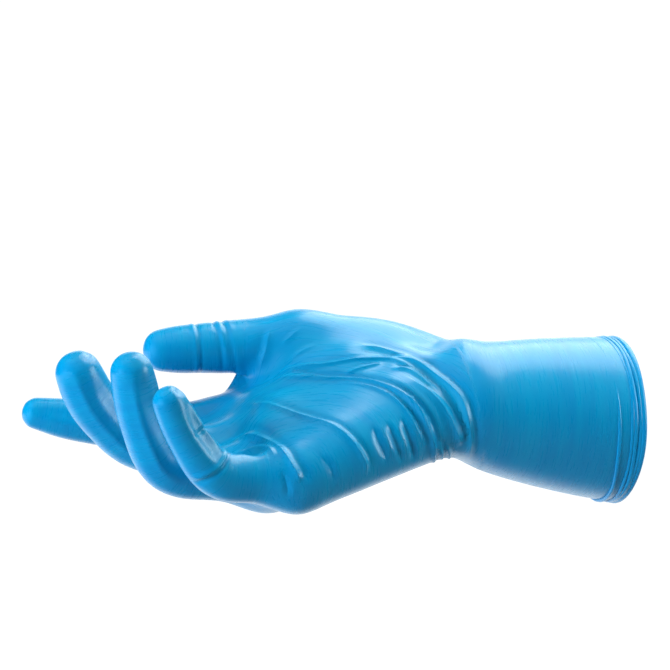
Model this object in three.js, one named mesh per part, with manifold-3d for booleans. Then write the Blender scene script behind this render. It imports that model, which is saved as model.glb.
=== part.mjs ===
// A disposable nitrile examination glove for the right side, filled out as when worn: palm up, fingers
// curled, thumb above them, and a long flared cuff with a rolled rim. Millimetres, +Z up. The origin is
// the centre of the cuff's mouth, and +X points out of it.
import * as THREE from "three";
import Module from "manifold-3d";

// The filled-out glove from wrist to middle fingertip, across its knuckles and through its palm.
const REACH = 184;
const PALM_WIDTH = 84;
const PALM_DEPTH = 27;
const FINGER_DIAMETER = 19.6;
const THUMB_DIAMETER = 21;
const WRIST_WIDTH = 58;
const WRIST_DEPTH = 48;

// The cuff, from the wrist to the end of its rolled rim.
const CUFF_LENGTH = 67.4;
const CUFF_DIAMETER = 65;
const WRIST_RISE = 6.8;
const WRIST_SHIFT = -2.2;
const ROLL_WIDTH = 12;
const ROLL_THICKNESS = 2.6;

// The film is drawn much thicker than the real tenth of a millimetre.
const FILM = 1;

// How the palm stands to the cuff, in degrees.
const PALM_DROP = 11.5;
const PALM_YAW = 6.8;
const PALM_ROLL = 17.5;

// The fingers. Knuckle: along as a share of REACH, across of PALM_WIDTH, rise of PALM_DEPTH. Bones: each
// joint's distance to the next as a share of REACH. Girth: at knuckle, two joints and tip, as a share of
// FINGER_DIAMETER. Bends: degrees at knuckle and two joints.
const FINGERS = [
  { name: "index", along: 0.451, across: 0.321, rise: -0.04, bones: [0.216, 0.122, 0.124],
    girth: [1, 0.95, 0.84, 0.64], splay: 4.4, bends: [9.8, 7.5, 5.1] },
  { name: "middle", along: 0.462, across: 0.06, rise: -0.15, bones: [0.229, 0.139, 0.118],
    girth: [1.02, 0.95, 0.98, 0.9], splay: -3.7, bends: [17, 42, 20] },
  { name: "ring", along: 0.429, across: -0.179, rise: -0.26, bones: [0.222, 0.142, 0.129],
    girth: [1.03, 0.98, 0.88, 0.81], splay: -7.8, bends: [18.5, 59.5, 13] },
  { name: "little", along: 0.38, across: -0.393, rise: -0.06, bones: [0.173, 0.108, 0.12],
    girth: [1.02, 0.92, 0.75, 0.63], splay: -10.5, bends: [16, 49, 11] },
];

// The thumb's root joint like a knuckle, then each bone's length as a share of REACH, its turn away from
// the fingers and its climb out of the palm in degrees. Girth is a share of THUMB_DIAMETER.
const THUMB_ROOT = { along: 0.05, across: 0.31, rise: 0.38 };
const THUMB_BONES = [
  { length: 0.253, turn: 9.8, climb: 17.7 },
  { length: 0.168, turn: 7.5, climb: 8 },
  { length: 0.168, turn: 0.5, climb: 8.7 },
];
const THUMB_GIRTH = [1.24, 1.16, 0.98, 0.82];

// The palm is filled by round bars from one place to another, each place a share of REACH, PALM_WIDTH
// and PALM_DEPTH. Thickness at both ends is a share of PALM_DEPTH.
const PALM_BARS = [
  { name: "heel", from: [0.04, -0.02, 0.14], to: [0.2, -0.02, 0.16], thick: [1.1, 1.1] },
  { name: "outer ball", from: [0.1, -0.18, 0.14], to: [0.3, -0.32, 0.06], thick: [0.88, 0.94] },
  { name: "thumb ball", from: [0.14, 0.3, 0.55], to: [0.24, 0.34, 0.72], thick: [1.14, 1.08] },
  { name: "thumb foot", from: [0.1, 0.14, 0.36], to: [0.28, 0.2, 0.44], thick: [1.1, 1.06] },
  { name: "hollow", from: [0.1, 0, 0.32], to: [0.38, -0.04, 0.26], thick: [1, 0.92] },
  { name: "outer hollow", from: [0.14, -0.15, 0.24], to: [0.4, -0.2, 0.14], thick: [0.96, 0.92] },
  { name: "inner hollow", from: [0.2, 0.15, 0.46], to: [0.4, 0.15, 0.22], thick: [1.1, 0.86] },
  { name: "thumb side", from: [0.02, 0.2, 0.12], to: [0.16, 0.3, 0.4], thick: [1, 1] },
  { name: "back of the web", from: [0.16, 0.33, 0.3], to: [0.32, 0.35, 0.26], thick: [0.86, 0.7] },
  { name: "first web", from: [0.31, 0.36, 0.55], to: [0.41, 0.34, 0.05], thick: [0.56, 0.56] },
];
const KNUCKLE_GIRTH = 0.97;
const KNUCKLE_GATHER = 0.45;
const BLEND = 0.3;

// The cuff between mouth and wrist: how far along, how far narrowed and how far lifted, as shares.
const CUFF_SECTIONS = [
  { place: 0.02, narrowed: 0, lifted: 0 },
  { place: 0.16, narrowed: 0.06, lifted: 0.1 },
  { place: 0.36, narrowed: 0.24, lifted: 0.28 },
  { place: 0.6, narrowed: 0.52, lifted: 0.52 },
  { place: 0.82, narrowed: 0.84, lifted: 0.8 },
];

// The rolled rim: strands that run round the mouth. How far back they lie at the top, the side and the
// bottom is a share of ROLL_WIDTH, and their girth is a share of ROLL_THICKNESS.
const STRANDS = [
  { name: "end", top: 0, side: 0, bottom: 0, girth: 1 },
  { name: "second", top: 0.3, side: 0.24, bottom: 0.17, girth: 0.9 },
  { name: "third", top: 0.62, side: 0.5, bottom: 0.35, girth: 0.85 },
];

// The film's main folds, ridges that run over the palm from the thumb's side to the outer edge. Places
// along each are shares of REACH, PALM_WIDTH and PALM_DEPTH, and girth is a share of both fold sizes.
const FOLD_HEIGHT = 1.3;
const FOLD_WIDTH = 3.6;
const FOLDS = [
  { name: "upper palm", girth: 0.9,
    path: [[0.4, 0.14, 0.4], [0.34, -0.145, 0.55], [0.261, -0.446, 0.36], [0.252, -0.475, -0.16]] },
  { name: "finger foot", girth: 0.9,
    path: [[0.484, -0.057, 0.3], [0.43, -0.19, 0.37], [0.4, -0.46, 0.43], [0.386, -0.56, 0.06]] },
  { name: "palm middle", girth: 1,
    path: [[0.365, 0.221, 0.65], [0.226, -0.05, 0.77], [0.117, -0.311, 0.49], [0.092, -0.337, -0.27]] },
  { name: "thumb ball", girth: 0.8,
    path: [[0.348, 0.208, 0.78], [0.25, 0.08, 0.88], [0.15, 0.03, 0.9]] },
  { name: "heel upper", girth: 1,
    path: [[0.207, 0.146, 1], [0.131, 0.079, 0.91], [0.042, -0.176, 0.71], [0.01, -0.28, 0.5]] },
  { name: "heel middle", girth: 0.9,
    path: [[0.13, -0.1, 0.72], [0.087, -0.216, 0.61], [0.041, -0.346, 0.08], [0.037, -0.325, -0.26]] },
  { name: "heel lower", girth: 0.9,
    path: [[0.155, -0.151, 0.7], [0.107, -0.342, 0.38], [0.08, -0.37, 0.01], [0.06, -0.308, -0.35]] },
  { name: "wrist", girth: 1,
    path: [[0.044, -0.178, 0.7], [0.006, -0.338, 0.22], [0.013, -0.342, -0.15], [0.01, -0.223, -0.65]] },
];

// Where the palm's skin ends and each digit's begins, along the digit's first bone past the palm, how
// much a finger's root swells, and where the webs and the foot of the thumb's ball lie.
const ROOT_AT = 0.42;
const ROOT_SWELL = 1.04;
const WEB_AT = 0.52;
const THUMB_ROOT_AT = 0.65;
const THENAR_FOOT = 0.12;
const STRAND_SUNK = 0.3;

// The mesh: quads across a finger (FINGER_SPANS) and down the thumb's side (RADIAL_SPANS, an even number),
// the palm's rows as shares of the way to the knuckles, the row that ends at the thumb, the rings on each
// digit, and the degrees at which a round tip and the index finger's side are cut.
const FINGER_SPANS = 2;
const RADIAL_SPANS = 6;
const THUMB_SPANS = 3;
const PALM_ROWS = [0.14, 0.29, 0.43, 0.57, 0.74, 0.88];
const THUMB_ROW_NUMBER = 3;
const FINGER_RING_COUNT = 5;
const THUMB_RING_COUNT = 4;
const TIP_ANGLES = [0, 40];
const INDEX_CORNER_ANGLE = 72;
const EVENING_TIMES = 8;
const SMOOTHING_TIMES = 1;
const FOLD_STEPS = 24;
const STRAND_SIDES = 8;
const STRAND_STEPS = 36;

const rad = THREE.MathUtils.degToRad;
const lerp = THREE.MathUtils.lerp;
const clamp = THREE.MathUtils.clamp;
const ease = (x) => THREE.MathUtils.smoothstep(x, 0, 1);
const v3 = (x, y, z) => new THREE.Vector3(x, y, z);

// The shape is worked out lying flat: x along the fingers, y to the thumb's side, z up out of the palm,
// from the middle of the wrist. These are those directions in the part's own frame.
const wrist = v3(-CUFF_LENGTH, WRIST_SHIFT, WRIST_RISE);
const alongWay = v3(
  -Math.cos(rad(PALM_DROP)) * Math.cos(rad(PALM_YAW)),
  Math.cos(rad(PALM_DROP)) * Math.sin(rad(PALM_YAW)),
  -Math.sin(rad(PALM_DROP)),
);
const level = v3(0, 1, 0).addScaledVector(alongWay, -alongWay.y).normalize();
const acrossWay = level.applyAxisAngle(alongWay, rad(-PALM_ROLL));
const palmWay = acrossWay.clone().cross(alongWay).normalize();
const flatToPart = new THREE.Matrix4().makeBasis(alongWay, acrossWay, palmWay).setPosition(wrist);
const partToFlat = flatToPart.clone().invert();
const palmPlace = (along, across, rise) => v3(along * REACH, across * PALM_WIDTH, rise * PALM_DEPTH);
const direction = (turn, climb) =>
  v3(Math.cos(climb) * Math.cos(turn), Math.cos(climb) * Math.sin(turn), Math.sin(climb));

// A digit is a chain of joints, the way across it and its radius at each joint.
function fingerChain(finger) {
  const joints = [palmPlace(finger.along, finger.across, finger.rise)];
  let bend = 0;
  finger.bones.forEach((bone, i) => {
    bend += rad(finger.bends[i]);
    joints.push(joints[i].clone().addScaledVector(direction(rad(finger.splay), bend), bone * REACH));
  });
  const side = direction(rad(finger.splay + 90), 0);
  return { joints, side, radii: finger.girth.map((g) => (g * FINGER_DIAMETER) / 2) };
}

function thumbChain() {
  const joints = [palmPlace(THUMB_ROOT.along, THUMB_ROOT.across, THUMB_ROOT.rise)];
  THUMB_BONES.forEach((bone, i) => {
    const way = direction(rad(bone.turn), rad(bone.climb));
    joints.push(joints[i].clone().addScaledVector(way, bone.length * REACH));
  });
  return { joints, side: v3(0, 1, 0), radii: THUMB_GIRTH.map((g) => (g * THUMB_DIAMETER) / 2) };
}

const fingers = FINGERS.map(fingerChain);
const thumb = thumbChain();
const boneLengths = ({ joints }) => joints.slice(1).map((joint, i) => joint.distanceTo(joints[i]));
const firstBone = (chain) => boneLengths(chain)[0];
const chainLength = (chain) => boneLengths(chain).reduce((sum, length) => sum + length, 0);

// The middle line of a chain with its corners rounded: the mean of the bent line over a short window.
function lineAt(chain, s) {
  const lengths = boneLengths(chain);
  const bentLine = (at) => {
    let i = 0;
    let rest = at;
    while (i < lengths.length - 1 && rest > lengths[i]) rest -= lengths[i++];
    return chain.joints[i].clone().lerp(chain.joints[i + 1], rest / lengths[i]);
  };
  const reach = Math.min(...lengths) * 0.45;
  const steps = 8;
  const point = v3(0, 0, 0);
  for (let k = 0; k < steps; k++)
    point.addScaledVector(bentLine(s + reach * ((2 * k + 1) / steps - 1)), 1 / steps);
  return { point, way: bentLine(s + reach).sub(bentLine(s - reach)).normalize() };
}

function radiusAt(chain, s) {
  let start = 0;
  for (const [i, length] of boneLengths(chain).entries()) {
    if (s <= start + length) return lerp(chain.radii[i], chain.radii[i + 1], (s - start) / length);
    start += length;
  }
  return chain.radii[chain.radii.length - 1];
}

// The palm's body: round bars and the digits' first bones, all melted together.
const bars = [
  ...PALM_BARS.map((bar) => ({
    from: palmPlace(...bar.from),
    to: palmPlace(...bar.to),
    radii: bar.thick.map((t) => (t * PALM_DEPTH) / 2),
  })),
  ...fingers.map(({ joints: [knuckle] }) => ({
    from: v3(0.05 * REACH, knuckle.y * KNUCKLE_GATHER, 0),
    to: knuckle,
    radii: [0.9, 1].map((t) => (t * KNUCKLE_GIRTH * PALM_DEPTH) / 2),
  })),
  ...fingers.map(({ joints, radii }) => ({
    from: joints[0],
    to: joints[1],
    radii: [radii[0] * 1.06, radii[1]],
  })),
  ...[0, 1].map((i) => ({
    from: thumb.joints[i],
    to: thumb.joints[i + 1],
    radii: [thumb.radii[i], thumb.radii[i + 1]],
  })),
];

function barDistance(p, { from, to, radii }) {
  const span = to.clone().sub(from);
  const t = clamp(p.clone().sub(from).dot(span) / span.lengthSq(), 0, 1);
  return p.distanceTo(from.clone().addScaledVector(span, t)) - lerp(radii[0], radii[1], t);
}

// The wrist is a flat oval post that fades out towards the knuckles.
function wristDistance(p) {
  const share = Math.hypot(p.y / (WRIST_WIDTH / 2), p.z / (WRIST_DEPTH / 2));
  return ((share - 1) * WRIST_DEPTH) / 2 + Math.max(0, p.x) * 0.75;
}

function melt(a, b) {
  const width = BLEND * PALM_DEPTH;
  const overlap = Math.max(width - Math.abs(a - b), 0) / width;
  return Math.min(a, b) - (overlap * overlap * width) / 4;
}

const bodyDistance = (p) => bars.reduce((d, bar) => melt(d, barDistance(p, bar)), wristDistance(p));

// A way straight across the palm, turned from the thumb's side over the back.
const crossWay = (turn) => v3(0, Math.cos(turn), -Math.sin(turn));

// Where a ray from inside the body leaves it for the last time.
function skinPoint(from, way) {
  const at = (r) => from.clone().addScaledVector(way, r);
  let outside = PALM_WIDTH;
  while (outside > 1 && bodyDistance(at(outside - 1)) > 0) outside -= 1;
  let inside = outside - 1;
  for (let i = 0; i < 16; i++) {
    const middle = (inside + outside) / 2;
    if (bodyDistance(at(middle)) > 0) outside = middle;
    else inside = middle;
  }
  return at(inside);
}

// A point of the ring round a digit at a distance along it.
function ringPoint(chain, s, turn, radius) {
  const { point, way } = lineAt(chain, s);
  const up = way.clone().cross(chain.side).normalize();
  return point
    .addScaledVector(chain.side, Math.cos(turn) * radius)
    .addScaledVector(up, -Math.sin(turn) * radius);
}
const ring = (chain, turns, s, radius) => turns.map((turn) => ringPoint(chain, s, turn, radius));

// The columns round the palm: over the back from index to little, the outer edge, over the palm from
// little to index, then down the thumb's side.
const BACK_LAST = 4 * FINGER_SPANS;
const OUTER = BACK_LAST + 1;
const PALM_FIRST = OUTER + 1;
const RADIAL_FIRST = PALM_FIRST + BACK_LAST;
const COLUMNS = RADIAL_FIRST + RADIAL_SPANS;

// The turns of a digit ring's points: its corners are shared with the next finger, and the point between
// two corners hangs in the web.
const corner = 360 / (2 * FINGER_SPANS + 4);
const turnsBetween = (first, last, pieces) =>
  Array.from({ length: pieces + 1 }, (_, i) => rad(lerp(first, last, i / pieces)));
const fingerTurns = [
  ...turnsBetween(corner, 180 - corner, FINGER_SPANS),
  Math.PI,
  ...turnsBetween(180 + corner, 360 - corner, FINGER_SPANS),
  2 * Math.PI,
];
const indexTurns = [
  ...turnsBetween(INDEX_CORNER_ANGLE, 180 - corner, FINGER_SPANS),
  Math.PI,
  ...turnsBetween(180 + corner, 360 - INDEX_CORNER_ANGLE, FINGER_SPANS),
  ...turnsBetween(360 - INDEX_CORNER_ANGLE, 360 + INDEX_CORNER_ANGLE, RADIAL_SPANS).slice(1, -1),
];
const turnsOf = (k) => (k === 0 ? indexTurns : fingerTurns);
const thumbTurn = (i, upper) => (upper ? rad(202.5 + 45 * i) : rad(157.5 - 45 * i));

// The last row of the palm is the roots of the fingers, with a point in the web between each two.
const roots = fingers.map((finger, k) => {
  const s = firstBone(finger) * ROOT_AT;
  return ring(finger, turnsOf(k), s, radiusAt(finger, s) * ROOT_SWELL);
});
const palmColumn = (k, i) => PALM_FIRST + (3 - k) * FINGER_SPANS + i;
const lastRow = new Array(COLUMNS);
roots.forEach((root, k) => {
  for (let i = 0; i <= FINGER_SPANS; i++) {
    const shared = [[k * FINGER_SPANS + i, root[i]], [palmColumn(k, i), root[FINGER_SPANS + 2 + i]]];
    for (const [column, point] of shared)
      lastRow[column] = lastRow[column] ? lastRow[column].clone().lerp(point, 0.5) : point;
  }
});
lastRow[OUTER] = roots[3][FINGER_SPANS + 1];
for (let i = 1; i < RADIAL_SPANS; i++) lastRow[RADIAL_FIRST + i] = roots[0][2 * FINGER_SPANS + 2 + i];
const webs = [0, 1, 2].map((k) => {
  const [a, b] = [fingers[k], fingers[k + 1]].map((f) => lineAt(f, firstBone(f) * WEB_AT).point);
  return a.lerp(b, 0.5);
});

// The thumb leaves the palm through a ring of its own: the upper half ends one row of the palm and the
// lower half starts the next.
const thumbRootAt = firstBone(thumb) + THUMB_ROOT_AT * boneLengths(thumb)[1];
const thumbHalf = (upper) => [0, 1, 2, 3].map((i) =>
  ringPoint(thumb, thumbRootAt, thumbTurn(i, upper), radiusAt(thumb, thumbRootAt)));

// Where a column's ray starts in its row, and its turn: middle of the wrist at first, then the middle
// of whatever it is to wrap.
function palmRay(column, t) {
  const gather = lerp(KNUCKLE_GATHER, 1, t);
  const little = fingers[3].joints[0].y * gather;
  const index = fingers[0].joints[0].y * gather;
  const x = lastRow[column].x * t;
  const i = column - RADIAL_FIRST;
  if (column <= BACK_LAST) {
    const outward = column === 0 ? -45 : column === BACK_LAST ? 45 : 0;
    const share = clamp((column / FINGER_SPANS - 0.5) / 3, 0, 1);
    return { from: v3(x, lerp(index, little, share), 0), turn: 90 + outward };
  }
  if (column === OUTER) return { from: v3(x, little, 0), turn: 180 };
  if (column < RADIAL_FIRST) {
    const share = (column - PALM_FIRST) / BACK_LAST;
    const foot = lerp(THENAR_FOOT * PALM_WIDTH, lastRow[RADIAL_FIRST].y, ease((t - 0.6) / 0.4));
    return { from: v3(x, lerp(little, foot, share), 0), turn: column === PALM_FIRST ? 225 : 270 };
  }
  if (i <= THUMB_SPANS) {
    const s = lerp(0.1 * firstBone(thumb), thumbRootAt, t / PALM_ROWS[THUMB_ROW_NUMBER]);
    return { from: lineAt(thumb, s).point, turn: 202.5 + 45 * i };
  }
  const fall = (i - THUMB_SPANS) / (RADIAL_SPANS - THUMB_SPANS);
  return { from: v3(x, index, lerp(0.45, 0, fall) * PALM_DEPTH), turn: lerp(350, 395, fall) };
}

function palmPoint(column, t) {
  const { from, turn } = palmRay(column, t);
  const settled = ease(t / 0.4);
  const wristTurn = 180 + (360 * (column - OUTER)) / COLUMNS;
  return skinPoint(v3(from.x, 0, 0).lerp(from, settled), crossWay(rad(lerp(wristTurn, turn, settled))));
}

function cuffPoint(section, column) {
  const turn = rad(180 + (360 * (column - OUTER)) / COLUMNS);
  const way = crossWay(turn);
  way.y *= lerp(CUFF_DIAMETER, WRIST_WIDTH, section.narrowed) / 2;
  way.z *= lerp(CUFF_DIAMETER, WRIST_DEPTH, section.narrowed) / 2;
  way.applyAxisAngle(v3(1, 0, 0), rad(PALM_ROLL) * section.lifted);
  way.add(v3(-CUFF_LENGTH * section.place, WRIST_SHIFT * section.lifted, WRIST_RISE * section.lifted));
  return way.applyMatrix4(partToFlat);
}

// All rows from the mouth to the finger roots. Past the thumb's row, the web hangs between its ring's
// lower half and the side of the index finger.
const everyColumn = Array.from({ length: COLUMNS }, (_, column) => column);
const [thumbUpper, thumbLower] = [thumbHalf(true), thumbHalf(false)];
function palmRow(t, r) {
  return everyColumn.map((column) => {
    const i = column - RADIAL_FIRST;
    if (i < 0 || i > THUMB_SPANS || r < THUMB_ROW_NUMBER) return palmPoint(column, t);
    if (r === THUMB_ROW_NUMBER) return thumbUpper[i];
    const gone = (t - PALM_ROWS[THUMB_ROW_NUMBER + 1]) / (1 - PALM_ROWS[THUMB_ROW_NUMBER + 1]);
    return thumbLower[i].clone().lerp(lastRow[column], gone);
  });
}
const rows = [
  ...CUFF_SECTIONS.map((section) => everyColumn.map((column) => cuffPoint(section, column))),
  ...[0, ...PALM_ROWS].map((t, i) => palmRow(t, i - 1)),
  lastRow,
];
const thumbRowAt = CUFF_SECTIONS.length + 1 + THUMB_ROW_NUMBER;

const points = [];
const quads = [];
const add = (point) => points.push(point) - 1;
const rowIds = rows.map((row) => row.map(add));
for (let r = 0; r < rows.length - 1; r++)
  for (const column of everyColumn) {
    const next = (column + 1) % COLUMNS;
    const isThumbHole = r === thumbRowAt && column >= RADIAL_FIRST && column < RADIAL_FIRST + THUMB_SPANS;
    const [near, far] = [rowIds[r], rowIds[r + 1]];
    if (!isThumbHole) quads.push([near[column], near[next], far[next], far[column]]);
  }

// A digit from its root's points to its tip: rings, then two rings and one point on a round end.
function addDigit(chain, rootIds, turns, rootAt, count) {
  let previous = rootIds;
  const addRing = (ringPoints) => {
    const ids = ringPoints.map(add);
    ids.forEach((id, i) => {
      const j = (i + 1) % ids.length;
      quads.push([previous[i], previous[j], ids[j], id]);
    });
    previous = ids;
  };
  const tipRadius = chain.radii[chain.radii.length - 1];
  const last = chainLength(chain) - tipRadius;
  for (let j = 1; j < count; j++) {
    const s = lerp(rootAt, last, j / count);
    addRing(ring(chain, turns, s, radiusAt(chain, s)));
  }
  const { point, way } = lineAt(chain, last);
  for (const turn of TIP_ANGLES) {
    const onward = way.clone().multiplyScalar(tipRadius * Math.sin(rad(turn)));
    addRing(ring(chain, turns, last, tipRadius * Math.cos(rad(turn))).map((p) => p.add(onward)));
  }
  const tip = add(point.addScaledVector(way, tipRadius));
  const n = previous.length;
  for (let i = 0; i < n; i += 2)
    quads.push([previous[(i + n - 1) % n], previous[i], previous[(i + 1) % n], tip]);
}

const lastIds = rowIds[rowIds.length - 1];
const webIds = webs.map(add);
fingers.forEach((finger, k) => {
  const back = lastIds.slice(k * FINGER_SPANS, (k + 1) * FINGER_SPANS + 1);
  const front = lastIds.slice(palmColumn(k, 0), palmColumn(k, FINGER_SPANS) + 1);
  const outer = k === 3 ? lastIds[OUTER] : webIds[k];
  const inner = k === 0 ? lastIds.slice(RADIAL_FIRST + 1) : [webIds[k - 1]];
  const rootAt = firstBone(finger) * ROOT_AT;
  addDigit(finger, [...back, outer, ...front, ...inner], turnsOf(k), rootAt, FINGER_RING_COUNT);
});
const upperIds = rowIds[thumbRowAt].slice(RADIAL_FIRST, RADIAL_FIRST + 4);
const lowerIds = rowIds[thumbRowAt + 1].slice(RADIAL_FIRST, RADIAL_FIRST + 4).reverse();
const upperTurns = [0, 1, 2, 3].map((i) => thumbTurn(i, true));
const lowerTurns = [3, 2, 1, 0].map((i) => thumbTurn(i, false));
const thumbTurns = [...upperTurns, ...lowerTurns];
addDigit(thumb, [...upperIds, ...lowerIds], thumbTurns, thumbRootAt, THUMB_RING_COUNT);

// The edges of a quad mesh, each with its ends and the faces beside it.
function edgesOf(count, faces) {
  const edges = new Map();
  faces.forEach((quad, f) =>
    quad.forEach((a, i) => {
      const b = quad[(i + 1) % 4];
      const key = Math.min(a, b) * count + Math.max(a, b);
      if (!edges.has(key)) edges.set(key, { ends: [a, b], faces: [] });
      edges.get(key).faces.push(f);
    }),
  );
  return edges;
}

// For every point: the sums of its neighbours over edges, across faces and along an open rim.
function surroundings(pts, faces) {
  const none = () => v3(0, 0, 0);
  const around = pts.map(() => ({ beside: none(), across: none(), rim: none(), n: 0, open: false }));
  for (const { ends, faces: sides } of edgesOf(pts.length, faces).values())
    for (const [p, q] of [ends, [ends[1], ends[0]]]) {
      around[p].beside.add(pts[q]);
      around[p].n += 1;
      if (sides.length === 1) {
        around[p].rim.add(pts[q]);
        around[p].open = true;
      }
    }
  faces.forEach((quad) => quad.forEach((a, i) => around[a].across.add(pts[quad[(i + 2) % 4]])));
  return around;
}

// Where Catmull-Clark smoothing would bring each point in the end.
function limitPoints(pts, faces) {
  const around = surroundings(pts, faces);
  return pts.map((p, i) => {
    const { beside, across, rim, n, open } = around[i];
    if (open) return p.clone().multiplyScalar(4).add(rim).divideScalar(6);
    return p.clone().multiplyScalar(n * n).addScaledVector(beside, 4).add(across).divideScalar(n * (n + 5));
  });
}

// Control points whose smooth surface passes through the given points.
function throughPoints(pts, faces) {
  let held = pts.map((p) => p.clone());
  for (let round = 0; round < 6; round++) {
    const limit = limitPoints(held, faces);
    held = held.map((p, i) => p.add(pts[i]).sub(limit[i]));
  }
  return held;
}

// One round of Catmull-Clark smoothing: every quad becomes four.
function subdivide({ pts, faces }) {
  const edges = edgesOf(pts.length, faces);
  const middleOf = (quad) => quad.reduce((sum, i) => sum.add(pts[i]), v3(0, 0, 0)).divideScalar(4);
  const centres = faces.map(middleOf);
  const around = surroundings(pts, faces);
  const next = pts.map((p, i) => {
    const { beside, across, rim, n, open } = around[i];
    if (open) return p.clone().multiplyScalar(6).add(rim).divideScalar(8);
    const own = p.clone().multiplyScalar(4 * n * n - 7 * n);
    return own.addScaledVector(beside, 6).add(across).divideScalar(4 * n * n);
  });
  const centreIds = centres.map((c) => next.push(c) - 1);
  for (const edge of edges.values()) {
    const middle = pts[edge.ends[0]].clone().add(pts[edge.ends[1]]).divideScalar(2);
    if (edge.faces.length === 2)
      middle.multiplyScalar(2).add(centres[edge.faces[0]]).add(centres[edge.faces[1]]).divideScalar(4);
    edge.id = next.push(middle) - 1;
  }
  const edgeId = (a, b) => edges.get(Math.min(a, b) * pts.length + Math.max(a, b)).id;
  const smaller = faces.flatMap((quad, f) =>
    quad.map((a, i) => [a, edgeId(a, quad[(i + 1) % 4]), centreIds[f], edgeId(quad[(i + 3) % 4], a)]),
  );
  return { pts: next, faces: smaller };
}

// The palm's points slide over the body towards the middle of their neighbours, to spread evenly.
function outOfBody(p) {
  const step = 0.1;
  const slope = ["x", "y", "z"].map((axis) => {
    const ahead = p.clone();
    ahead[axis] += step;
    return (bodyDistance(ahead) - bodyDistance(p)) / step;
  });
  const normal = v3(...slope);
  return p.clone().addScaledVector(normal, -bodyDistance(p) / normal.lengthSq());
}
const palmIds = rowIds.slice(CUFF_SECTIONS.length).flat();
for (let round = 0; round < EVENING_TIMES; round++) {
  const around = surroundings(points, quads);
  const moved = palmIds.map((id) => {
    const middle = around[id].beside.divideScalar(around[id].n);
    return outOfBody(outOfBody(points[id].clone().lerp(middle, 0.5)));
  });
  palmIds.forEach((id, i) => points[id].copy(moved[i]));
}
let skin = { pts: throughPoints(points, quads), faces: quads };
for (let i = 0; i < SMOOTHING_TIMES; i++) skin = subdivide(skin);

function normalsOf(pts, faces) {
  const normals = pts.map(() => v3(0, 0, 0));
  faces.forEach((quad) => {
    const [a, b, c, d] = quad.map((i) => pts[i]);
    const normal = c.clone().sub(a).cross(d.clone().sub(b));
    quad.forEach((i) => normals[i].add(normal));
  });
  return normals.map((normal) => normal.normalize());
}

// How far the folds lift a place of the skin: a round ridge over each one's path, fading to its ends.
const foldPaths = FOLDS.map(({ girth, path }) => {
  const curve = new THREE.CatmullRomCurve3(path.map((place) => palmPlace(...place)));
  return { girth, places: curve.getPoints(FOLD_STEPS).map(outOfBody) };
});
function foldLift(p) {
  return foldPaths.reduce((sum, { girth, places }) => {
    const distances = places.map((place) => place.distanceTo(p));
    const nearest = Math.min(...distances);
    const share = distances.indexOf(nearest) / FOLD_STEPS;
    const fade = ease(3 * share) * ease(3 * (1 - share));
    return sum + FOLD_HEIGHT * girth * fade * Math.exp(-((nearest / (FOLD_WIDTH * girth)) ** 2));
  }, 0);
}
const smoothPoints = limitPoints(skin.pts, skin.faces);
const smoothNormals = normalsOf(smoothPoints, skin.faces);
const outerPoints = smoothPoints.map((p, i) =>
  p.clone().addScaledVector(smoothNormals[i], foldLift(p)).applyMatrix4(flatToPart));

// A skin filled solid: its rim is carried on to a flat lid across the mouth.
function filled(pts, faces, lidAt) {
  const all = pts.map((p) => p.clone());
  const triangles = [];
  const addQuad = (a, b, c, d) => {
    const straight = all[a].distanceToSquared(all[c]) < all[b].distanceToSquared(all[d]);
    triangles.push(...(straight ? [a, b, c, a, c, d] : [b, c, d, b, d, a]));
  };
  faces.forEach((quad) => addQuad(...quad));
  const collar = new Map();
  const carried = (id) => {
    if (!collar.has(id)) collar.set(id, all.push(all[id].clone().setX(lidAt)) - 1);
    return collar.get(id);
  };
  const middle = all.push(v3(lidAt, 0, 0)) - 1;
  for (const { ends: [a, b], faces: sides } of edgesOf(pts.length, faces).values())
    if (sides.length === 1) {
      addQuad(b, a, carried(a), carried(b));
      triangles.push(carried(b), carried(a), middle);
    }
  return { all, triangles };
}

// A strand of the roll: a round cord that runs once round the mouth.
function strandMesh(strand) {
  const radius = (strand.girth * ROLL_THICKNESS) / 2;
  const all = [];
  const triangles = [];
  for (let i = 0; i < STRAND_STEPS; i++) {
    const turn = (2 * Math.PI * i) / STRAND_STEPS;
    const height = -Math.sin(turn);
    const ends = height > 0 ? strand.top : strand.bottom;
    const back = lerp(radius, ROLL_WIDTH, lerp(strand.side, ends, height * height));
    const out = crossWay(turn);
    const centre = out.clone().multiplyScalar(CUFF_DIAMETER / 2 - radius * STRAND_SUNK).setX(-back);
    for (let j = 0; j < STRAND_SIDES; j++) {
      const a = (2 * Math.PI * j) / STRAND_SIDES;
      const along = v3(radius * Math.sin(a), 0, 0);
      all.push(centre.clone().addScaledVector(out, radius * Math.cos(a)).add(along));
    }
    for (let j = 0; j < STRAND_SIDES; j++) {
      const [here, next] = [i * STRAND_SIDES, ((i + 1) % STRAND_STEPS) * STRAND_SIDES];
      const k = (j + 1) % STRAND_SIDES;
      triangles.push(here + j, here + k, next + k, here + j, next + k, next + j);
    }
  }
  return { all, triangles };
}

const wasm = await Module();
wasm.setup();
function solidOf({ all, triangles }) {
  return new wasm.Manifold(new wasm.Mesh({
    numProp: 3,
    vertProperties: new Float32Array(all.flatMap((p) => p.toArray())),
    triVerts: new Uint32Array(triangles),
  }));
}
const normals = normalsOf(outerPoints, skin.faces);
const innerPoints = outerPoints.map((p, i) => p.clone().addScaledVector(normals[i], -FILM));
let solid = solidOf(filled(outerPoints, skin.faces, -ROLL_THICKNESS / 4));
for (const strand of STRANDS) solid = solid.add(solidOf(strandMesh(strand)));
solid = solid.subtract(solidOf(filled(innerPoints, skin.faces, ROLL_THICKNESS)));

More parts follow.
